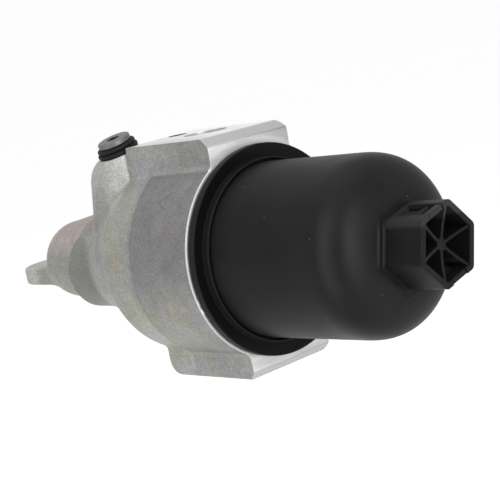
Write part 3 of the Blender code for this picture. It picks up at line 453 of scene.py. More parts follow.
def cast_material():
    """Cast aluminium: fine grain, soft mottling, an olive cast, greyer in front and warmer at the rear, with
    painted shade on the front band, its end line and the block's flank, and painted light on the tall bosses,
    the underside and the fillets.
    """
    graph = Graph("cast_skin")
    patch = graph.noise(75.0, 5.0, 0.62)
    cloud = graph.noise(210.0, 4.0, 0.6)
    grain = graph.noise(1000.0, 3.0, 0.75)
    tone = graph.ramp(patch, [(0.30, 0.238), (0.5, 0.272), (0.72, 0.308)])
    tone = graph.scaled(tone, graph.ramp(cloud, [(0.28, 0.91), (0.5, 1.0), (0.72, 1.08)]))
    tone = graph.scaled(tone, graph.ramp(grain, [(0.3, 0.68), (0.5, 1.0), (0.7, 1.30)]))

    along, up = graph.axis(0), graph.axis(2)
    beside = graph.block_mask()
    front = graph.step(along, *FRONT_BAND)
    band = graph.times(front, beside)
    band_step_shade_line = graph.times(graph.below(graph.off(along, FRONT_BAND[0]), *BAND_STEP_SHADE_LINE), beside)
    rear_top = graph.times(graph.below(along, *REAR_TOP_ALONG), graph.step(up, *REAR_TOP_UP))
    lit_bosses = graph.times(graph.below(along, *LIT_BOSSES_ALONG), graph.step(up, *LIT_BOSSES_UP))
    rear_boss = graph.times(graph.step(along, *REAR_BOSS_BACK), graph.below(along, *REAR_BOSS_FRONT),
                            graph.below(up, *REAR_BOSS_TOP))
    shaded_flank = graph.times(graph.inverse(beside), graph.step(along, *SHADED_FLANK_ALONG), graph.step(up, *SHADED_FLANK_UP))
    underlit_belly = graph.times(graph.step(along, *UNDERLIT_BELLY_ALONG), graph.below(up, *UNDERLIT_BELLY_UP), graph.inverse(front))
    rust = graph.step(graph.noise(48.0, 5.0, 0.65), 0.52, 0.70)
    olive = graph.step(graph.noise(55.0, 3.0, 0.6), 0.36, 0.64)
    fillet_highlight = graph.node("ShaderNodeAttribute", attribute_name="fillet_highlight").outputs["Fac"]

    tint = graph.mix(olive, (1.0, 0.99, 1.03), (1.0, 1.01, 0.84))
    # Painted shade on the front band's top and foot, together with the band's own darker tone
    tint = graph.mix(graph.times(band, graph.step(up, *FRONT_SHADE_UP)), tint, (0.60, 0.60, 0.61))
    tint = graph.mix(graph.times(band, graph.below(up, *FRONT_FOOT_SHADE_UP)), tint, (0.72, 0.72, 0.70))
    # Painted shade: a dark line in the step at the front band's end
    tint = graph.mix(band_step_shade_line, tint, (0.50, 0.50, 0.48))
    tint = graph.mix(rear_top, tint, (1.27, 1.10, 1.03))
    tint = graph.mix(rust, tint, graph.scaled(tint, (1.07, 0.98, 0.93)))
    tint = graph.mix(graph.below(along, *EAR_TONE_ALONG), tint, (1.55, 1.54, 1.40))
    # Painted light on the tower, its gallery and the plug boss
    tint = graph.mix(lit_bosses, tint, (1.40, 1.40, 1.33))
    tint = graph.mix(rear_boss, tint, (0.70, 0.71, 0.64))
    # Painted shade on the block's side
    tint = graph.mix(shaded_flank, tint, (0.82, 0.82, 0.79))
    # Painted light from below on the underside
    tint = graph.mix(underlit_belly, tint, graph.scaled(tint, (1.25, 1.24, 1.27)))
    # Painted highlight: the fillets lighter
    tint = graph.mix(graph.times(fillet_highlight, 0.8), tint, grey(1.20))
    rough = graph.ramp(patch, [(0.2, 0.60), (0.8, 0.50)])
    return graph.finish(graph.scaled(tone, tint), rough, 0.25, grain, strength=0.35, depth=0.00015)


# Where painted light and shade change on the machined faces, as fades in metres: the bevels' painted shade by
# X plus Z and by X minus Z
TOP_BEVEL_SHADE_FADE, FOOT_BEVEL_SHADE_FADE = (0.0095, 0.0099), (0.1208, 0.1212)
# Painted light and shade: the front face lighter on the near side and darker on the far side, and the
# mounting face lighter on the far side
FRONT_FACE_ALONG, FRONT_FACE_UP = (0.0135, 0.0139), (-0.070, -0.040)
MOUNT_FACE_UP = (-0.0004, -0.0002)
NEAR_TO_FAR_LIGHT_GRADE = (-0.030, 0.030)


def machined_material():
    """Milled aluminium: fine streaks, bevels darkened with painted shade, and front and mounting faces graded
    from near to far with painted light and shade.
    """
    graph = Graph("machined_face")
    streak = graph.noise(60.0, 3.0, 0.5, stretch=(0.25, 1.0, 6.0))
    fine = graph.noise(900.0, 2.0, 0.5, stretch=(0.2, 1.0, 3.0))
    along, up = graph.axis(0), graph.axis(2)
    top_bevel_shade = graph.step(graph.math("ADD", along, up), *TOP_BEVEL_SHADE_FADE)
    foot_bevel_shade = graph.step(graph.math("SUBTRACT", along, up), *FOOT_BEVEL_SHADE_FADE)
    far = graph.step(graph.axis(1), *NEAR_TO_FAR_LIGHT_GRADE)
    front_face_light_grade = graph.times(graph.step(along, *FRONT_FACE_ALONG), graph.step(up, *FRONT_FACE_UP))
    mount_face_light_grade = graph.times(graph.step(up, *MOUNT_FACE_UP), far)

    colour = graph.ramp(streak, [(0.3, 0.50), (0.7, 0.66)])
    # Painted shade: the bevels darker
    colour = graph.mix(graph.math("MAXIMUM", top_bevel_shade, foot_bevel_shade), colour, grey(0.39))
    colour = graph.mix(graph.block_mask(), colour, grey(0.46))
    # Painted light and shade grading the front face and the mounting face from near to far
    shade = graph.mix(far, grey(1.34), grey(0.64))
    colour = graph.mix(front_face_light_grade, colour, graph.scaled(colour, shade))
    colour = graph.mix(mount_face_light_grade, colour, graph.scaled(colour, grey(1.45)))
    rough = graph.ramp(fine, [(0.2, 0.34), (0.8, 0.44)])
    return graph.finish(colour, rough, 0.5, fine, strength=0.05, depth=0.0001, edge=0.0003)


# Where painted light and shade fall on the moulding, in metres: painted shade on the flange's face by radius,
# a painted sheen band round the dome's start, the key's top lit with painted light, and painted highlight
# lines along the edges of the foot pad and the key on the flat that faces the side
# Painted shade: the flange's face darker between these radii
FLANGE_INNER, FLANGE_OUTER = (0.0420, 0.0423), (0.0478, 0.0481)
# Painted sheen: a paler band round the dome's start where a lamp's reflection falls
SHEEN_BAND, SHEEN_BAND_HALF = 0.0873, 0.0052
SHEEN_BAND_LOW, SHEEN_BAND_HIGH = (-0.078, -0.058), (-0.042, -0.026)
# Painted light: the key's top lighter, as where light falls from above
LIT_KEY_ALONG, LIT_KEY_UP = (0.0995, 0.1005), (-0.0465, -0.0445)
FLAT_SIDE, FLAT_RISE = -0.962, 0.274
# Painted highlights: pale lines along the edges of the foot pad and the key
PAD_EDGE_OUT, PAD_EDGE_ALONG = (0.0188, 0.0200), (0.0990, 0.0996)
KEY_EDGE_OUT, KEY_EDGE_ALONG = (0.0158, 0.0165), (0.0990, 0.1002)
EDGE_HIGHLIGHTS_UP, EDGE_HIGHLIGHTS_FADE = (-0.0580, -0.0460), 0.0040


def moulding_material():
    """Black moulding: fine texture, pale specks, painted shade on the flange's face, a painted sheen band at
    the dome, painted light on the key's top and painted highlight lines at the key's foot.
    """
    graph = Graph("moulding")
    mottle = graph.noise(45.0, 4.0, 0.6)
    fine = graph.noise(1300.0, 2.0, 0.7)
    speck = graph.node("ShaderNodeTexVoronoi")
    speck.inputs["Scale"].default_value = 120.0
    graph.link(graph.coords, speck.inputs["Vector"])
    along, side, up = graph.axis(0), graph.axis(1), graph.axis(2)
    rise = graph.math("ADD", up, AXIS_DROP * MM)
    radius = graph.math("SQRT", graph.math("ADD", graph.times(side, side), graph.times(rise, rise)))
    flange = graph.times(graph.step(radius, *FLANGE_INNER), graph.below(radius, *FLANGE_OUTER))
    # Painted sheen band round the dome's start
    painted_sheen_band = graph.times(graph.below(graph.off(along, SHEEN_BAND), 0.0, SHEEN_BAND_HALF),
                            graph.step(up, *SHEEN_BAND_LOW), graph.below(up, *SHEEN_BAND_HIGH))
    lit_key_top = graph.times(graph.step(along, *LIT_KEY_ALONG), graph.step(up, *LIT_KEY_UP))
    out = graph.math("ADD", graph.times(side, FLAT_SIDE), graph.times(rise, FLAT_RISE))
    pad_edge_highlight = graph.times(graph.between(out, *PAD_EDGE_OUT), graph.between(along, *PAD_EDGE_ALONG))
    key_edge_highlight = graph.times(graph.between(out, *KEY_EDGE_OUT), graph.between(along, *KEY_EDGE_ALONG))
    edge_highlights = graph.times(graph.math("MAXIMUM", pad_edge_highlight, key_edge_highlight),
                             graph.between(up, *EDGE_HIGHLIGHTS_UP, EDGE_HIGHLIGHTS_FADE))

    colour = graph.ramp(mottle, [(0.3, 0.006), (0.7, 0.010)])
    colour = graph.mix(graph.below(speck.outputs["Distance"], 0.020, 0.034), colour, grey(0.11))
    # Painted shade on the flange's face
    colour = graph.mix(flange, colour, grey(0.0025))
    # Painted sheen on the band round the dome's start
    colour = graph.mix(painted_sheen_band, colour, grey(0.019))
    # Painted light on the key's top
    colour = graph.mix(lit_key_top, colour, grey(0.024))
    # Painted highlight lines at the edges of the foot pad and the key
    colour = graph.mix(edge_highlights, colour, grey(0.024))
    graph.shader.inputs["Specular IOR Level"].default_value = 0.09
    rough = graph.ramp(mottle, [(0.3, 0.40), (0.7, 0.50)])
    return graph.finish(colour, rough, bump=fine, strength=0.35, depth=0.0001, edge=0.0007)


def rubber_material():
    graph = Graph("rubber")
    mottle = graph.noise(300.0, 3.0, 0.6)
    colour = graph.ramp(mottle, [(0.3, 0.005), (0.7, 0.010)])
    rough = graph.ramp(mottle, [(0.3, 0.55), (0.7, 0.7)])
    graph.shader.inputs["Specular IOR Level"].default_value = 0.15
    return graph.finish(colour, rough, bump=mottle, strength=0.1, depth=0.0001, edge=0.0002)


def metal_material(name, low, high, metallic, rough):
    """Mottled metal between two colours, with its roughness varied a little."""
    graph = Graph(name)
    mottle = graph.noise(250.0, 4.0, 0.6)
    colour = graph.ramp(mottle, [(0.3, low), (0.7, high)])
    varied = graph.ramp(mottle, [(0.3, rough - 0.06), (0.7, rough + 0.06)])
    return graph.finish(colour, varied, metallic, mottle, strength=0.06, depth=0.0001, edge=0.0002)


def paper_material():
    graph = Graph("paper")
    fibre = graph.noise(900.0, 5.0, 0.7)
    colour = graph.ramp(fibre, [(0.3, (0.52, 0.42, 0.25)), (0.7, (0.68, 0.58, 0.38))])
    rough = graph.ramp(fibre, [(0.3, 0.8), (0.7, 0.95)])
    return graph.finish(colour, rough, bump=fibre, strength=0.2)


def ink_material():
    graph = Graph("mark_ink")
    worn = graph.noise(700.0, 3.0, 0.6)
    colour = graph.ramp(worn, [(0.35, (0.05, 0.10, 0.09)), (0.65, (0.10, 0.15, 0.14))])
    return graph.finish(colour, 0.6)


cast_skin = cast_material()
machined_face = machined_material()
moulding = moulding_material()
rubber = rubber_material()
steel = metal_material("zinc_plate", 0.085, 0.14, 0.5, 0.45)
# Painted shade: a darker finish for the walls of the plug's socket, standing in for the shade in it
socket_shade = metal_material("socket_shade_wall", 0.02, 0.05, 0.2, 0.6)
# Painted shade: a darker wall for the outlet port, standing in for the shade in the hole
shaded_port_wall = metal_material("shaded_port_wall", 0.05, 0.10, 0.3, 0.6)
tin = metal_material("tin_plate_sheet", (0.50, 0.50, 0.51), (0.60, 0.60, 0.61), 0.9, 0.33)
wire = metal_material("spring_wire", (0.24, 0.24, 0.25), (0.34, 0.34, 0.35), 0.95, 0.35)
paper = paper_material()
ink = ink_material()
CASTING_LOOKS = (cast_skin, machined_face, shaded_port_wall)
CAST, MACHINED, PORT_SHADE = 0, 1, 2


# Casting skin: distance fields of the cast forms, blended with fillets

def outline_distance(px, py, outline):
    """Signed distance to a closed outline, negative inside."""
    best = np.full(px.shape, 1e9)
    inside = np.zeros(px.shape, bool)
    for (ax, ay), (bx, by) in zip(outline, outline[1:] + outline[:1]):
        ex, ey = bx - ax, by - ay
        if ex * ex + ey * ey < 1e-12:
            continue
        wx, wy = px - ax, py - ay
        t = np.clip((wx * ex + wy * ey) / (ex * ex + ey * ey), 0, 1)
        best = np.minimum(best, (wx - ex * t) ** 2 + (wy - ey * t) ** 2)
        if ey != 0.0:
            inside ^= ((ay > py) != (by > py)) & (px < ex * (py - ay) / ey + ax)
    return np.where(inside, -1.0, 1.0) * np.sqrt(best)


class Section:
    """A closed outline's distance, looked up from a fine table."""

    def __init__(self, outline, step=0.4, margin=16.0):
        corners = np.array(outline)
        self.low = corners.min(0) - margin
        self.step = step
        count = np.ceil((corners.max(0) + margin - self.low) / step).astype(int) + 1
        u = self.low[0] + step * np.arange(count[0])
        v = self.low[1] + step * np.arange(count[1])
        self.table = outline_distance(*np.meshgrid(u, v, indexing="ij"), outline)

    def __call__(self, u, v):
        u = np.clip((u - self.low[0]) / self.step, 0, self.table.shape[0] - 1.001)
        v = np.clip((v - self.low[1]) / self.step, 0, self.table.shape[1] - 1.001)
        i, j = u.astype(int), v.astype(int)
        s, t = u - i, v - j
        table = self.table
        return ((table[i, j] * (1 - s) + table[i + 1, j] * s) * (1 - t)
                + (table[i, j + 1] * (1 - s) + table[i + 1, j + 1] * s) * t)


def fillet(a, b, radius):
    """Union of two fields with a round fillet in the corner between them."""
    corner = np.hypot(np.maximum(radius - a, 0), np.maximum(radius - b, 0))
    return np.maximum(radius, np.minimum(a, b)) - corner


def both(a, b, radius):
    """Intersection of two fields with a rounded edge."""
    u, v = a + radius, b + radius
    return np.minimum(np.maximum(u, v), 0) + np.hypot(np.maximum(u, 0), np.maximum(v, 0)) - radius


def within(value, ends):
    """Distance to the slab between two ends, negative inside."""
    return np.maximum(ends[0] - value, value - ends[1])


def mirrored(profile):
    return profile + [(-r, h) for r, h in reversed(profile) if r > 0]


def barrel_outline():
    """Half outline of barrel, shoulder, cone and rear end as (radius, along)."""
    outline = [(0.0, 4.0), (BARREL_RADIUS, 4.0), (BARREL_RADIUS, BAND_END), (47.9, -42.4),
               (BARREL_END_RADIUS, BARREL_END)]
    outline += bezier((BARREL_END_RADIUS, BARREL_END), (BARREL_END_RADIUS, -69.46), (34.85, -77.08),
                      (CONE_RADIUS, CONE_START), 16)
    outline += bezier((CONE_RADIUS, CONE_START), (30.6, -95.3), (REAR_RADIUS, -96.5),
                      (REAR_RADIUS, REAR_START), 10)
    for step in range(13):
        angle = math.pi / 2 * step / 12
        outline.append((NOSE_RADIUS - NOSE_ROUND * (1 - math.cos(angle)),
                        REAR_END + NOSE_LENGTH * (1 - math.sin(angle))))
    outline.append((0.0, REAR_END))
    return outline


def block_end_outline():
    """The block from the front: its far top corner is cast round, its top elsewhere is stock to be cut."""
    top = MOUNT_FACE + 0.1
    corners = [(-BLOCK_HALF, -62.0), (BLOCK_HALF, -62.0), (BLOCK_HALF, top), (18.0, top),
               (18.0, BLOCK_STOCK), (-BLOCK_HALF, BLOCK_STOCK)]
    return rounded(corners, [0.0, 0.0, FAR_CORNER, 0.0, 0.0, 0.0])


def tower_outline():
    """Half outline of the valve tower with its round crown as (radius, up)."""
    outline = [(0.0, 0.0), (TOWER_FOOT_RADIUS, 0.0), (TOWER_RADIUS, TOWER_SHOULDER)]
    for angle in np.linspace(0.2, math.pi / 2, 9):
        outline.append((TOWER_RADIUS - TOWER_CROWN * (1 - math.cos(angle)),
                        TOWER_CROWN_START + TOWER_CROWN * math.sin(angle)))
    outline.append((0.0, TOWER_CROWN_START + TOWER_CROWN))
    return outline


def ear_outline():
    """The ear from above, round at its end."""
    outline = [(EAR_ROOT, -EAR_RADIUS), (EAR_ROOT, EAR_RADIUS)]
    for angle in np.linspace(math.pi / 2, 1.5 * math.pi, 25):
        outline.append((EAR_ALONG + EAR_RADIUS * math.cos(angle), EAR_RADIUS * math.sin(angle)))
    return outline


barrel_section = Section(mirrored(barrel_outline()))
block_side = Section(rounded(rectangle(BLOCK_BACK, BLOCK_FRONT, BLOCK_FOOT, BLOCK_STOCK),
                             [FOOT_CORNER, 0.0, 0.0, 0.0]))
block_end = Section(block_end_outline())
tower_section = Section(mirrored(tower_outline()))
gallery_section = Section(rounded(rectangle(*GALLERY_SIDES, 0.0, GALLERY_TOP),
                                  [0.0, 0.0, GALLERY_CORNER, GALLERY_CORNER]))
plug_boss_section = Section(mirrored([(0.0, 0.0), (PLUG_BOSS_FOOT, 0.0), (PLUG_BOSS_RADIUS, PLUG_BOSS_TOP),
                                      (0.0, PLUG_BOSS_TOP)]))
ear_section = Section(ear_outline())


def cast_field(a, y, z, fillets=1.0):
    """Distance to the cast skin before machining."""
    droop = REAR_DROOP * np.maximum(0, CONE_START - a)
    field = barrel_section(np.hypot(y, z + droop), a)
    block = both(block_side(a, z), block_end(y, z), BLOCK_EDGE)
    field = fillet(field, block, BLOCK_FILLET * fillets)
    rear_round = np.hypot(y - REAR_BOSS_SIDE, z - REAR_BOSS_UP) - REAR_BOSS_RADIUS
    rear_boss = both(rear_round, within(a, REAR_BOSS_SPAN), REAR_BOSS_EDGE)
    share = np.clip((a - REAR_BOSS_FILLET_START) / REAR_BOSS_FILLET_LENGTH, 0.0, 1.0)
    field = fillet(field, rear_boss, (REAR_BOSS_FILLET + REAR_BOSS_FILLET_GAIN * share) * fillets)
    gallery = both(gallery_section(y, z), within(a, GALLERY_SPAN), GALLERY_EDGE)
    tower = tower_section(np.hypot(a - TOWER_ALONG, y - TOWER_SIDE), z)
    field = fillet(field, fillet(tower, gallery, GALLERY_FILLET * fillets), TOWER_FILLET * fillets)
    plug_boss = plug_boss_section(np.hypot(a + PLUG_BACK, y - PLUG_SIDE), z)
    field = fillet(field, both(plug_boss, z - 62.0, PLUG_BOSS_EDGE), PLUG_BOSS_FILLET * fillets)
    ear = both(ear_section(a, y), np.abs(z - EAR_UP) - EAR_HALF, EAR_EDGE)
    return fillet(field, ear, EAR_FILLET * fillets)


def skin_mesh(field, low, high, step):
    """Closed quad mesh of the zero surface, each point moved onto the surface itself."""
    axes = [np.arange(l, h + step, step) for l, h in zip(low, high)]
    values = field(*np.meshgrid(*axes, indexing="ij"))
    cell_counts = tuple(np.array(values.shape) - 1)
    total = np.zeros(cell_counts + (3,))
    hits = np.zeros(cell_counts)
    crossing = []
    for axis in range(3):
        first = [slice(None)] * 3
        second = [slice(None)] * 3
        first[axis] = slice(0, -1)
        second[axis] = slice(1, None)
        a, b = values[tuple(first)], values[tuple(second)]
        where = np.argwhere((a < 0) != (b < 0))
        va, vb = a[tuple(where.T)], b[tuple(where.T)]
        spot = where.astype(float)
        spot[:, axis] += va / (va - vb)
        others = [k for k in range(3) if k != axis]
        cells = []
        for du, dv in ((-1, -1), (0, -1), (0, 0), (-1, 0)):
            cell = where.copy()
            cell[:, others[0]] += du
            cell[:, others[1]] += dv
            cells.append(cell)
            np.add.at(total, tuple(cell.T), spot)
            np.add.at(hits, tuple(cell.T), 1)
        crossing.append((axis, cells, va < 0))
    used = np.argwhere(hits > 0)
    index = -np.ones(hits.shape, int)
    index[tuple(used.T)] = np.arange(len(used))
    points = total[tuple(used.T)] / hits[tuple(used.T)][:, None] * step + [ax[0] for ax in axes]
    quads = []
    for axis, cells, outward in crossing:
        quad = np.stack([index[tuple(c.T)] for c in cells], 1)
        if axis == 1:
            quad = quad[:, ::-1]
        quad[~outward] = quad[~outward][:, ::-1]
        quads.append(quad)
    return onto_surface(field, points, 4), np.concatenate(quads)


def slope(field, points, reach=0.15):
    """The field's gradient at each point."""
    grad = np.zeros_like(points)
    for axis in range(3):
        shift = np.zeros(3)
        shift[axis] = reach
        grad[:, axis] = (field(*(points + shift).T) - field(*(points - shift).T)) / (2 * reach)
    return grad


def onto_surface(field, points, rounds):
    """Move points along the gradient until the field is zero there."""
    for _ in range(rounds):
        grad = slope(field, points)
        size = np.maximum((grad ** 2).sum(1), 0.05)
        points = points - grad * np.clip(field(*points.T) / size, -0.8, 0.8)[:, None]
    return points


points, quads = skin_mesh(cast_field, SKIN_LOW, SKIN_HIGH, SKIN_STEP)
housing = add_mesh("housing_skin", to_row(points), quads)
for look in CASTING_LOOKS:
    housing.data.materials.append(look)

# Machined faces: the outer limit of the block, then the bores
limit_outline = [(FAR_BACK, -BEYOND), (-(BEYOND + FOOT_BEVEL_TOP), -BEYOND), (0.0, FOOT_BEVEL_TOP),
                 (0.0, MOUNT_FACE - TOP_BEVEL), (-TOP_BEVEL, MOUNT_FACE), (MOUNT_FACE_BACK, MOUNT_FACE),
                 (MOUNT_FACE_BACK, BEYOND), (FAR_BACK, BEYOND)]
limit = bm_object("limit", prism(limit_outline, -70.0, 70.0), SIDEWAYS, MACHINED)
cut(housing, [limit], "INTERSECT")

bore = [(0.0, 1.0), (56.0, 1.0), (55.5, 0.3), (50.6, -0.4), (44.25, -0.4), (43.5, -1.15), (43.5, -7.9),
        (42.0, -9.4), (42.0, -21.4), (40.5, -22.9), (40.5, -46.0), (11.3, -46.0), (11.3, -62.0),
        (10.0, -62.0), (10.0, -100.0), (8.5, -100.0), (8.5, -128.0), (0.0, -128.0)]
spot = [(0.0, 0.0), (12.4, 0.0), (12.4, 25.0), (0.0, 25.0)]
drill = [(0.0, -54.0), (4.0, -54.0), (4.0, -14.0), (6.3, -14.0), (6.3, 1.0), (0.0, 1.0)]
inlet = [(0.0, 36.5), (8.5, 36.5), (8.5, 41.8), (10.5, 41.8), (10.5, 57.0), (0.0, 57.0)]
ear_hole = [(0.0, -14.0), (4.5, -14.0), (4.5, -2.0), (0.0, -2.0)]
run = OUTLET_TOP - OUTLET_FOOT
outlet_end = run.length + 2 * OUTLET_RADIUS
outlet = [(0.0, 0.0), (OUTLET_RADIUS, 0.0), (OUTLET_RADIUS, outlet_end), (0.0, outlet_end)]
outlet_place = moved(*OUTLET_FOOT) @ run.to_track_quat("Z", "Y").to_matrix().to_4x4()

# The barrel's front edge and the step behind its front band, both beside the block only
edge_outline = [(48.8, 0.5), (48.8, -0.4), (50.5, -2.1), (50.5, 0.5)]
edge = bm_object("edge", lathe(edge_outline, FINE), BORE, MACHINED)
beside_edge = prism(rectangle(-9.0, 9.0, -25.0, 25.0), -70, 70)
cut(edge, [bm_object("beside", beside_edge, CASTING, MACHINED)])
step_outline = [(48.0, -40.9), (50.0, -40.9), (50.0, -43.6), (47.8, -43.6)]
step = bm_object("step", lathe(step_outline, FINE), BORE, CAST)
beside_step = prism(rectangle(-60.0, -30.0, -26.5, 26.5), -70, 70)
cut(step, [bm_object("beside", beside_step, CASTING, CAST)])
cut(housing, [
    step,
    edge,
    bm_object("bore", lathe(bore, FINE), BORE, MACHINED),
    bm_object("spot", lathe(spot, ROUND), PLUG, MACHINED),
    bm_object("drill", lathe(drill, 48), PLUG, MACHINED),
    bm_object("inlet", lathe(inlet, ROUND), moved(INLET_ALONG, INLET_SIDE, 0.0), MACHINED),
    # The outlet's walls take the darker port finish, painted shade in the hole
    bm_object("outlet", lathe(outlet, SMALL), outlet_place, PORT_SHADE),
    bm_object("ear_hole", lathe(ear_hole, SMALL), moved(EAR_ALONG, 0.0, 0.0), MACHINED),
])

# How far the fillets stand out, kept for a painted highlight that makes them paler
mesh = housing.data
points = np.empty(len(mesh.vertices) * 3)
mesh.vertices.foreach_get("co", points)
points = from_row(points.reshape(-1, 3)).T
fillet_highlight = np.clip((cast_field(*points, 0.02) - cast_field(*points)) / 0.8, 0.0, 1.0)
mesh.attributes.new("fillet_highlight", "FLOAT", "POINT").data.foreach_set("value", fillet_highlight)
smooth(housing, 28.0)
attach(housing, "casting")
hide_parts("housing")


# Bowl

def hexagon(flats, corner):
    reach = flats / 2 / math.cos(math.pi / 6)
    corners = [(-reach * math.cos(HEX_TURN + k * math.pi / 3), -reach * math.sin(HEX_TURN + k * math.pi / 3))
               for k in range(6)]
    return rounded(corners, [corner] * 6)


def dome(radius, length, steps):
    """Outline from the dome's start to the axis as (radius, height), fuller than an ellipse."""
    points = []
    for step in range(steps + 1):
        u = math.sin(math.pi / 2 * step / steps) ** 0.85
        points.append((radius * max(0.0, 1 - u ** DOME_POWER) ** (1 / DOME_POWER), DOME_START + length * u))
    return points


def bowl_profile():
    """Closed outline of the bowl: flange and bead, wall, dome, the element's ring, collar and ring groove."""
    profile = [(47.6, -0.1), (48.3, 0.6), (48.3, 3.4), (47.95, 3.75), (42.3, 2.8), (42.1, 3.1), (41.7, 5.4),
               (41.45, 5.7), (41.2, 5.7), (41.0, 5.4), (40.8, 3.0), (40.6, 2.7), (40.1, 3.0), (39.9, 3.6)]
    profile += dome(BOWL_RADIUS, DOME_LENGTH, 40)
    inside = dome(BOWL_RADIUS - BOWL_WALL, DOME_LENGTH - BOWL_WALL, 24)
    profile += [p for p in reversed(inside) if p[0] < 20.5]
    profile += [(20.5, 82.0), (20.5, 72.8), (22.5, 72.8), (22.5, 81.8)]
    profile += [p for p in reversed(inside) if p[0] > 23.0]
    profile += [(38.5, 5.1), (38.5, -20.0), (40.9, -20.0), (41.6, -19.3), (41.6, -9.4), (43.1, -7.9),
                (43.1, -5.95), (39.9, -5.95), (39.9, -2.35), (43.1, -2.35), (43.1, -0.1)]
    return profile


def rib_outline():
    """A rib of the key from the hub to the wall, its top edge sagging towards the hub."""
    reach = KEY_FLATS / 2 / math.cos(math.pi / 6) - 1.3
    outline = [(-HUB_RADIUS / 2, RIB_ROOT), (reach, RIB_ROOT)]
    outline += [(reach * (1 - t), HUB_TOP + RIB_RISE * (1 - t) ** 2) for t in np.linspace(0, 1, 13)]
    outline.append((-HUB_RADIUS / 2, HUB_TOP))
    return outline


def radial(sixths):
    """Place of an upright outline that stands out from the bowl's axis, by sixths of a turn."""
    return BORE @ Matrix.Rotation(math.pi + HEX_TURN + sixths * math.pi / 3, 4, "Z") @ TURN_OUT


bowl = bm_object("bowl_moulding", lathe(bowl_profile(), FINE), BORE)
pad = bm_object("pad", prism(hexagon(PAD_FLATS, PAD_CORNER), KEY_ROOT, PAD_TOP), BORE)
key = bm_object("key", prism(hexagon(KEY_FLATS, KEY_CORNER), KEY_ROOT, KEY_TOP), BORE)
cut(bowl, [pad, key], "UNION")
pocket = bm_object("pocket", prism(hexagon(POCKET_FLATS, POCKET_CORNER), POCKET_FLOOR, KEY_CLEAR), BORE)
windows = []
for sixths in TONGUE_TURNS:
    window = prism(rectangle(*WINDOW_REACH, WINDOW_LOW, KEY_CLEAR), -WINDOW_HALF, WINDOW_HALF)
    windows.append(bm_object("window", window, radial(sixths)))
cut(bowl, [pocket] + windows)
hub = lathe([(0.0, RIB_ROOT), (HUB_RADIUS, RIB_ROOT), (HUB_RADIUS, HUB_TOP), (0.0, HUB_TOP)], 24)
extras = [bm_object("hub", hub, BORE)]
for sixths in range(6):
    extras.append(bm_object("rib", prism(rib_outline(), -RIB_HALF, RIB_HALF), radial(sixths)))
tongue = [(11.4, 84.9), (13.5, 84.9), (13.5, 92.6), (15.25, 97.9), (13.75, 98.3), (13.75, 99.5),
          (15.75, 102.3), (15.75, 105.05), (13.5, 105.05), (13.5, 99.1), (11.4, 95.1)]
for sixths in TONGUE_TURNS:
    extras.append(bm_object("tongue", prism(tongue, -TONGUE_HALF, TONGUE_HALF), radial(sixths)))
cut(bowl, extras, "UNION")
bowl.data.materials.clear()
bowl.data.materials.append(moulding)
smooth(bowl, 25.0)
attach(bowl, "bowl_group")
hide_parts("bowl")


# Plug and its seal

def lip(radius, height, bulge, half):
    """One rounded lip of the seal."""
    return [(radius + bulge * math.cos(t), height + half * math.sin(t)) for t in np.linspace(-1.2, 1.2, 9)]


seal_profile = [(6.3, SEAT_GAP), (9.65, SEAT_GAP)] + lip(9.3, 1.25, 0.8, 0.95)
seal_profile += [(8.6, 2.4)] + lip(8.8, 3.4, 0.7, 0.85) + [(8.4, SEAL_TOP), (6.3, SEAL_TOP)]
seal = bm_object("seal_lips", lathe(seal_profile, ROUND), PLUG)
seal.data.materials.append(rubber)
smooth(seal, 40.0)
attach(seal, "plug_carrier")
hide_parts("plug_seal")

plug_profile = [(0.0, -11.0), (5.0, -11.0), (6.0, -10.0), (6.0, HEAD_FOOT), (7.7, HEAD_FOOT),
                (8.0, HEAD_FOOT + 0.3)]
plug_profile += [(7.3 + 0.7 * math.cos(t), HEAD_TOP - 0.7 + 0.7 * math.sin(t))
                 for t in np.linspace(0, math.pi / 2, 7)]
plug_profile += [(0.0, HEAD_TOP)]
plug = bm_object("plug_screw", lathe(plug_profile, ROUND), PLUG)
socket = []
for index in range(SOCKET_POINTS):
    angle = 2 * math.pi * index / SOCKET_POINTS
    radius = SOCKET_RADIUS - SOCKET_LOBE * (1 + math.cos(6 * angle)) / 2
    socket.append((radius * math.cos(angle), radius * math.sin(angle)))
plug.data.materials.append(steel)
# The socket's walls take the darker finish, painted shade in the socket
plug.data.materials.append(socket_shade)
socket_shape = prism(socket, HEAD_TOP - SOCKET_DEPTH, HEAD_TOP + 1.0)
cut(plug, [bm_object("socket", socket_shape, PLUG, 1, (steel, socket_shade))])
smooth(plug, 35.0)
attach(plug, "plug_screw")
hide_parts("plug")


# Hand-drawn mark: each straight run of a stroke is a strip that lies on the barrel

def strip(a_from, turn_from, a_to, turn_to, parts=4):
    """Points of a strip between two places on the barrel, a pair at each end of its parts."""
    side = Vector((BARREL_RADIUS * math.radians(turn_to - turn_from), a_from - a_to)).normalized() * MARK_HALF
    made = []
    for t in np.linspace(0.0, 1.0, parts + 1):
        for sign in (-1, 1):
            angle = math.radians(turn_from + (turn_to - turn_from) * t) + sign * side.y / BARREL_RADIUS
            made.append((a_from + (a_to - a_from) * t + sign * side.x, -MARK_RADIUS * math.cos(angle),
                         MARK_RADIUS * math.sin(angle)))
    return made


points = []
quads = []
for stroke in MARK_STROKES:
    for start, end in zip(stroke, stroke[1:]):
        first = len(points)
        points += strip(*start, *end)
        quads += [(k, k + 1, k + 3, k + 2) for k in range(first, len(points) - 2, 2)]
mark = add_mesh("hand_mark", to_row(points), quads)
mark.data.materials.append(ink)
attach(mark, "casting")

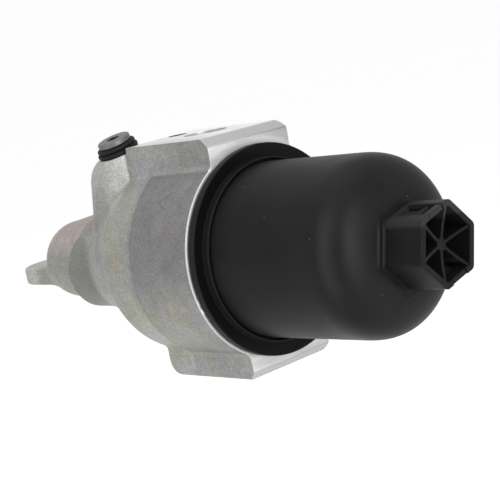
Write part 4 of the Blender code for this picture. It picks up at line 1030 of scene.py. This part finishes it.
# Finishes of the pieces inside
finishes = {"bowl_seal_ring": rubber, "element_rear_grommet": rubber, "inlet_valve_disc": rubber,
            "element_rear_cap": tin, "element_front_cap": tin, "element_core": tin, "element_paper": paper,
            "bypass_spring": wire, "relief_spring": wire, "inlet_valve_spring": wire}
for name, node in nodes.items():
    if name in ("housing", "bowl", "plug", "plug_seal"):
        continue
    node.data.materials.clear()
    node.data.materials.append(finishes.get(name, steel))

# Each spring stands with its low end on the casting and its high end on a valve; here it is copied as a coil
# in the wire finish, and the imported spring is hidden
SPRINGS = {"bypass_spring": ("bypass_valve", 0), "relief_spring": ("relief_valve", 0),
           "inlet_valve_spring": ("inlet_valve", 2)}
for name, (valve, direction) in SPRINGS.items():
    shape = bmesh.new()
    shape.from_mesh(nodes[name].data)
    shape.transform(nodes[name].matrix_world)
    bmesh.ops.remove_doubles(shape, verts=shape.verts, dist=1e-7)
    reach = [vertex.co[direction] for vertex in shape.verts]
    coil = add_mesh(name + "_coil", [], [])
    shape.to_mesh(coil.data)
    shape.free()
    coil.data.materials.append(wire)
    low, high = Vector(), Vector()
    low[direction], high[direction] = min(reach), max(reach)
    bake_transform(coil)
    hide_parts(name)


# Stage: a pale floor that keeps the object's shadow, and a pale world

FLOOR_HEIGHT, FLOOR_HALF, FLOOR_GLOW = -0.32, 6.0, 0.715
FILL_STRENGTH = 0.42
BACKGROUND = 0.98


def seen_rays(tree):
    """1 for the rays that show the background: from the camera, a reflection or glass."""
    rays = tree.nodes.new("ShaderNodeLightPath")
    total = rays.outputs["Is Camera Ray"]
    for name in ("Is Glossy Ray", "Is Transmission Ray"):
        add = tree.nodes.new("ShaderNodeMath")
        add.operation = "MAXIMUM"
        tree.links.new(total, add.inputs[0])
        tree.links.new(rays.outputs[name], add.inputs[1])
        total = add.outputs[0]
    return total


def floor_material():
    """Matt white that also glows for the rays that show the background."""
    material, tree = new_material("floor")
    output = tree.nodes.new("ShaderNodeOutputMaterial")
    join = tree.nodes.new("ShaderNodeAddShader")
    matt = tree.nodes.new("ShaderNodeBsdfDiffuse")
    matt.inputs["Color"].default_value = (*grey(0.8), 1.0)
    glow = tree.nodes.new("ShaderNodeEmission")
    level = tree.nodes.new("ShaderNodeMath")
    level.operation = "MULTIPLY"
    level.inputs[1].default_value = FLOOR_GLOW
    tree.links.new(seen_rays(tree), level.inputs[0])
    tree.links.new(level.outputs[0], glow.inputs["Strength"])
    tree.links.new(matt.outputs[0], join.inputs[0])
    tree.links.new(glow.outputs[0], join.inputs[1])
    tree.links.new(join.outputs[0], output.inputs[0])
    return material


def studio_world():
    """A plain fill light, and a paler background where it is seen."""
    world = bpy.data.worlds.new("studio")
    world.use_nodes = True
    tree = world.node_tree
    tree.nodes.clear()
    output = tree.nodes.new("ShaderNodeOutputWorld")
    choose = tree.nodes.new("ShaderNodeMixShader")
    fill = tree.nodes.new("ShaderNodeBackground")
    fill.inputs["Color"].default_value = (*grey(0.8), 1.0)
    fill.inputs["Strength"].default_value = FILL_STRENGTH
    shown = tree.nodes.new("ShaderNodeBackground")
    shown.inputs["Color"].default_value = (*grey(BACKGROUND), 1.0)
    shown.inputs["Strength"].default_value = 1.0
    tree.links.new(seen_rays(tree), choose.inputs[0])
    tree.links.new(fill.outputs[0], choose.inputs[1])
    tree.links.new(shown.outputs[0], choose.inputs[2])
    tree.links.new(choose.outputs[0], output.inputs[0])
    return world


floor = add_mesh("floor", [(*corner, FLOOR_HEIGHT) for corner in
                           rectangle(-FLOOR_HALF, FLOOR_HALF, -FLOOR_HALF, FLOOR_HALF)], [(0, 1, 2, 3)])
floor.data.materials.append(floor_material())
floor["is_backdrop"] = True
bpy.context.scene.world = studio_world()


# Lamps, each aimed at the object

AIM = (0.0, 0.0, -0.05)


def lamp(name, place, size, power):
    light = bpy.data.lights.new(name, "AREA")
    light.shape = "RECTANGLE"
    light.size, light.size_y = size
    light.energy = power
    made = bpy.data.objects.new(name, light)
    made.location = place
    made.rotation_euler = (Vector(AIM) - Vector(place)).to_track_quat("-Z", "Y").to_euler()
    bpy.context.collection.objects.link(made)


lamp("above", (0.05, -0.1, 0.75), (0.9, 0.8), 3.2)
lamp("left", (-0.08, -0.85, 0.28), (0.2, 0.9), 2.1)
lamp("front", (0.95, -0.25, 0.1), (0.34, 0.8), 9.0)
lamp("low", (-0.25, -0.75, -0.28), (0.5, 0.3), 0.7)

# Camera fitted to the photo: its place, its axes in the row frame and its lens
CAMERA_PLACE = (0.498643, -0.430252, 0.045794)
CAMERA_RIGHT = Vector((0.6631815, 0.72159104, -0.1987377))
CAMERA_DOWN = Vector((-0.01787619, -0.25018273, -0.9680336))
CAMERA_FORWARD = Vector((-0.74824511, 0.64553464, -0.15301726))
CAMERA_LENS = 104.118
camera_data = bpy.data.cameras.new("camera")
camera_data.sensor_width = 36.0
camera_data.lens = CAMERA_LENS
camera_data.clip_start = 0.05
camera_data.clip_end = 20.0
camera = bpy.data.objects.new("camera", camera_data)
turn = Matrix((CAMERA_RIGHT, -CAMERA_DOWN, -CAMERA_FORWARD)).transposed().to_4x4()
camera.matrix_world = Matrix.Translation(CAMERA_PLACE) @ turn
bpy.context.collection.objects.link(camera)
bpy.context.scene.camera = camera
bpy.context.scene.view_settings.view_transform = "Standard"

low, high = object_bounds()
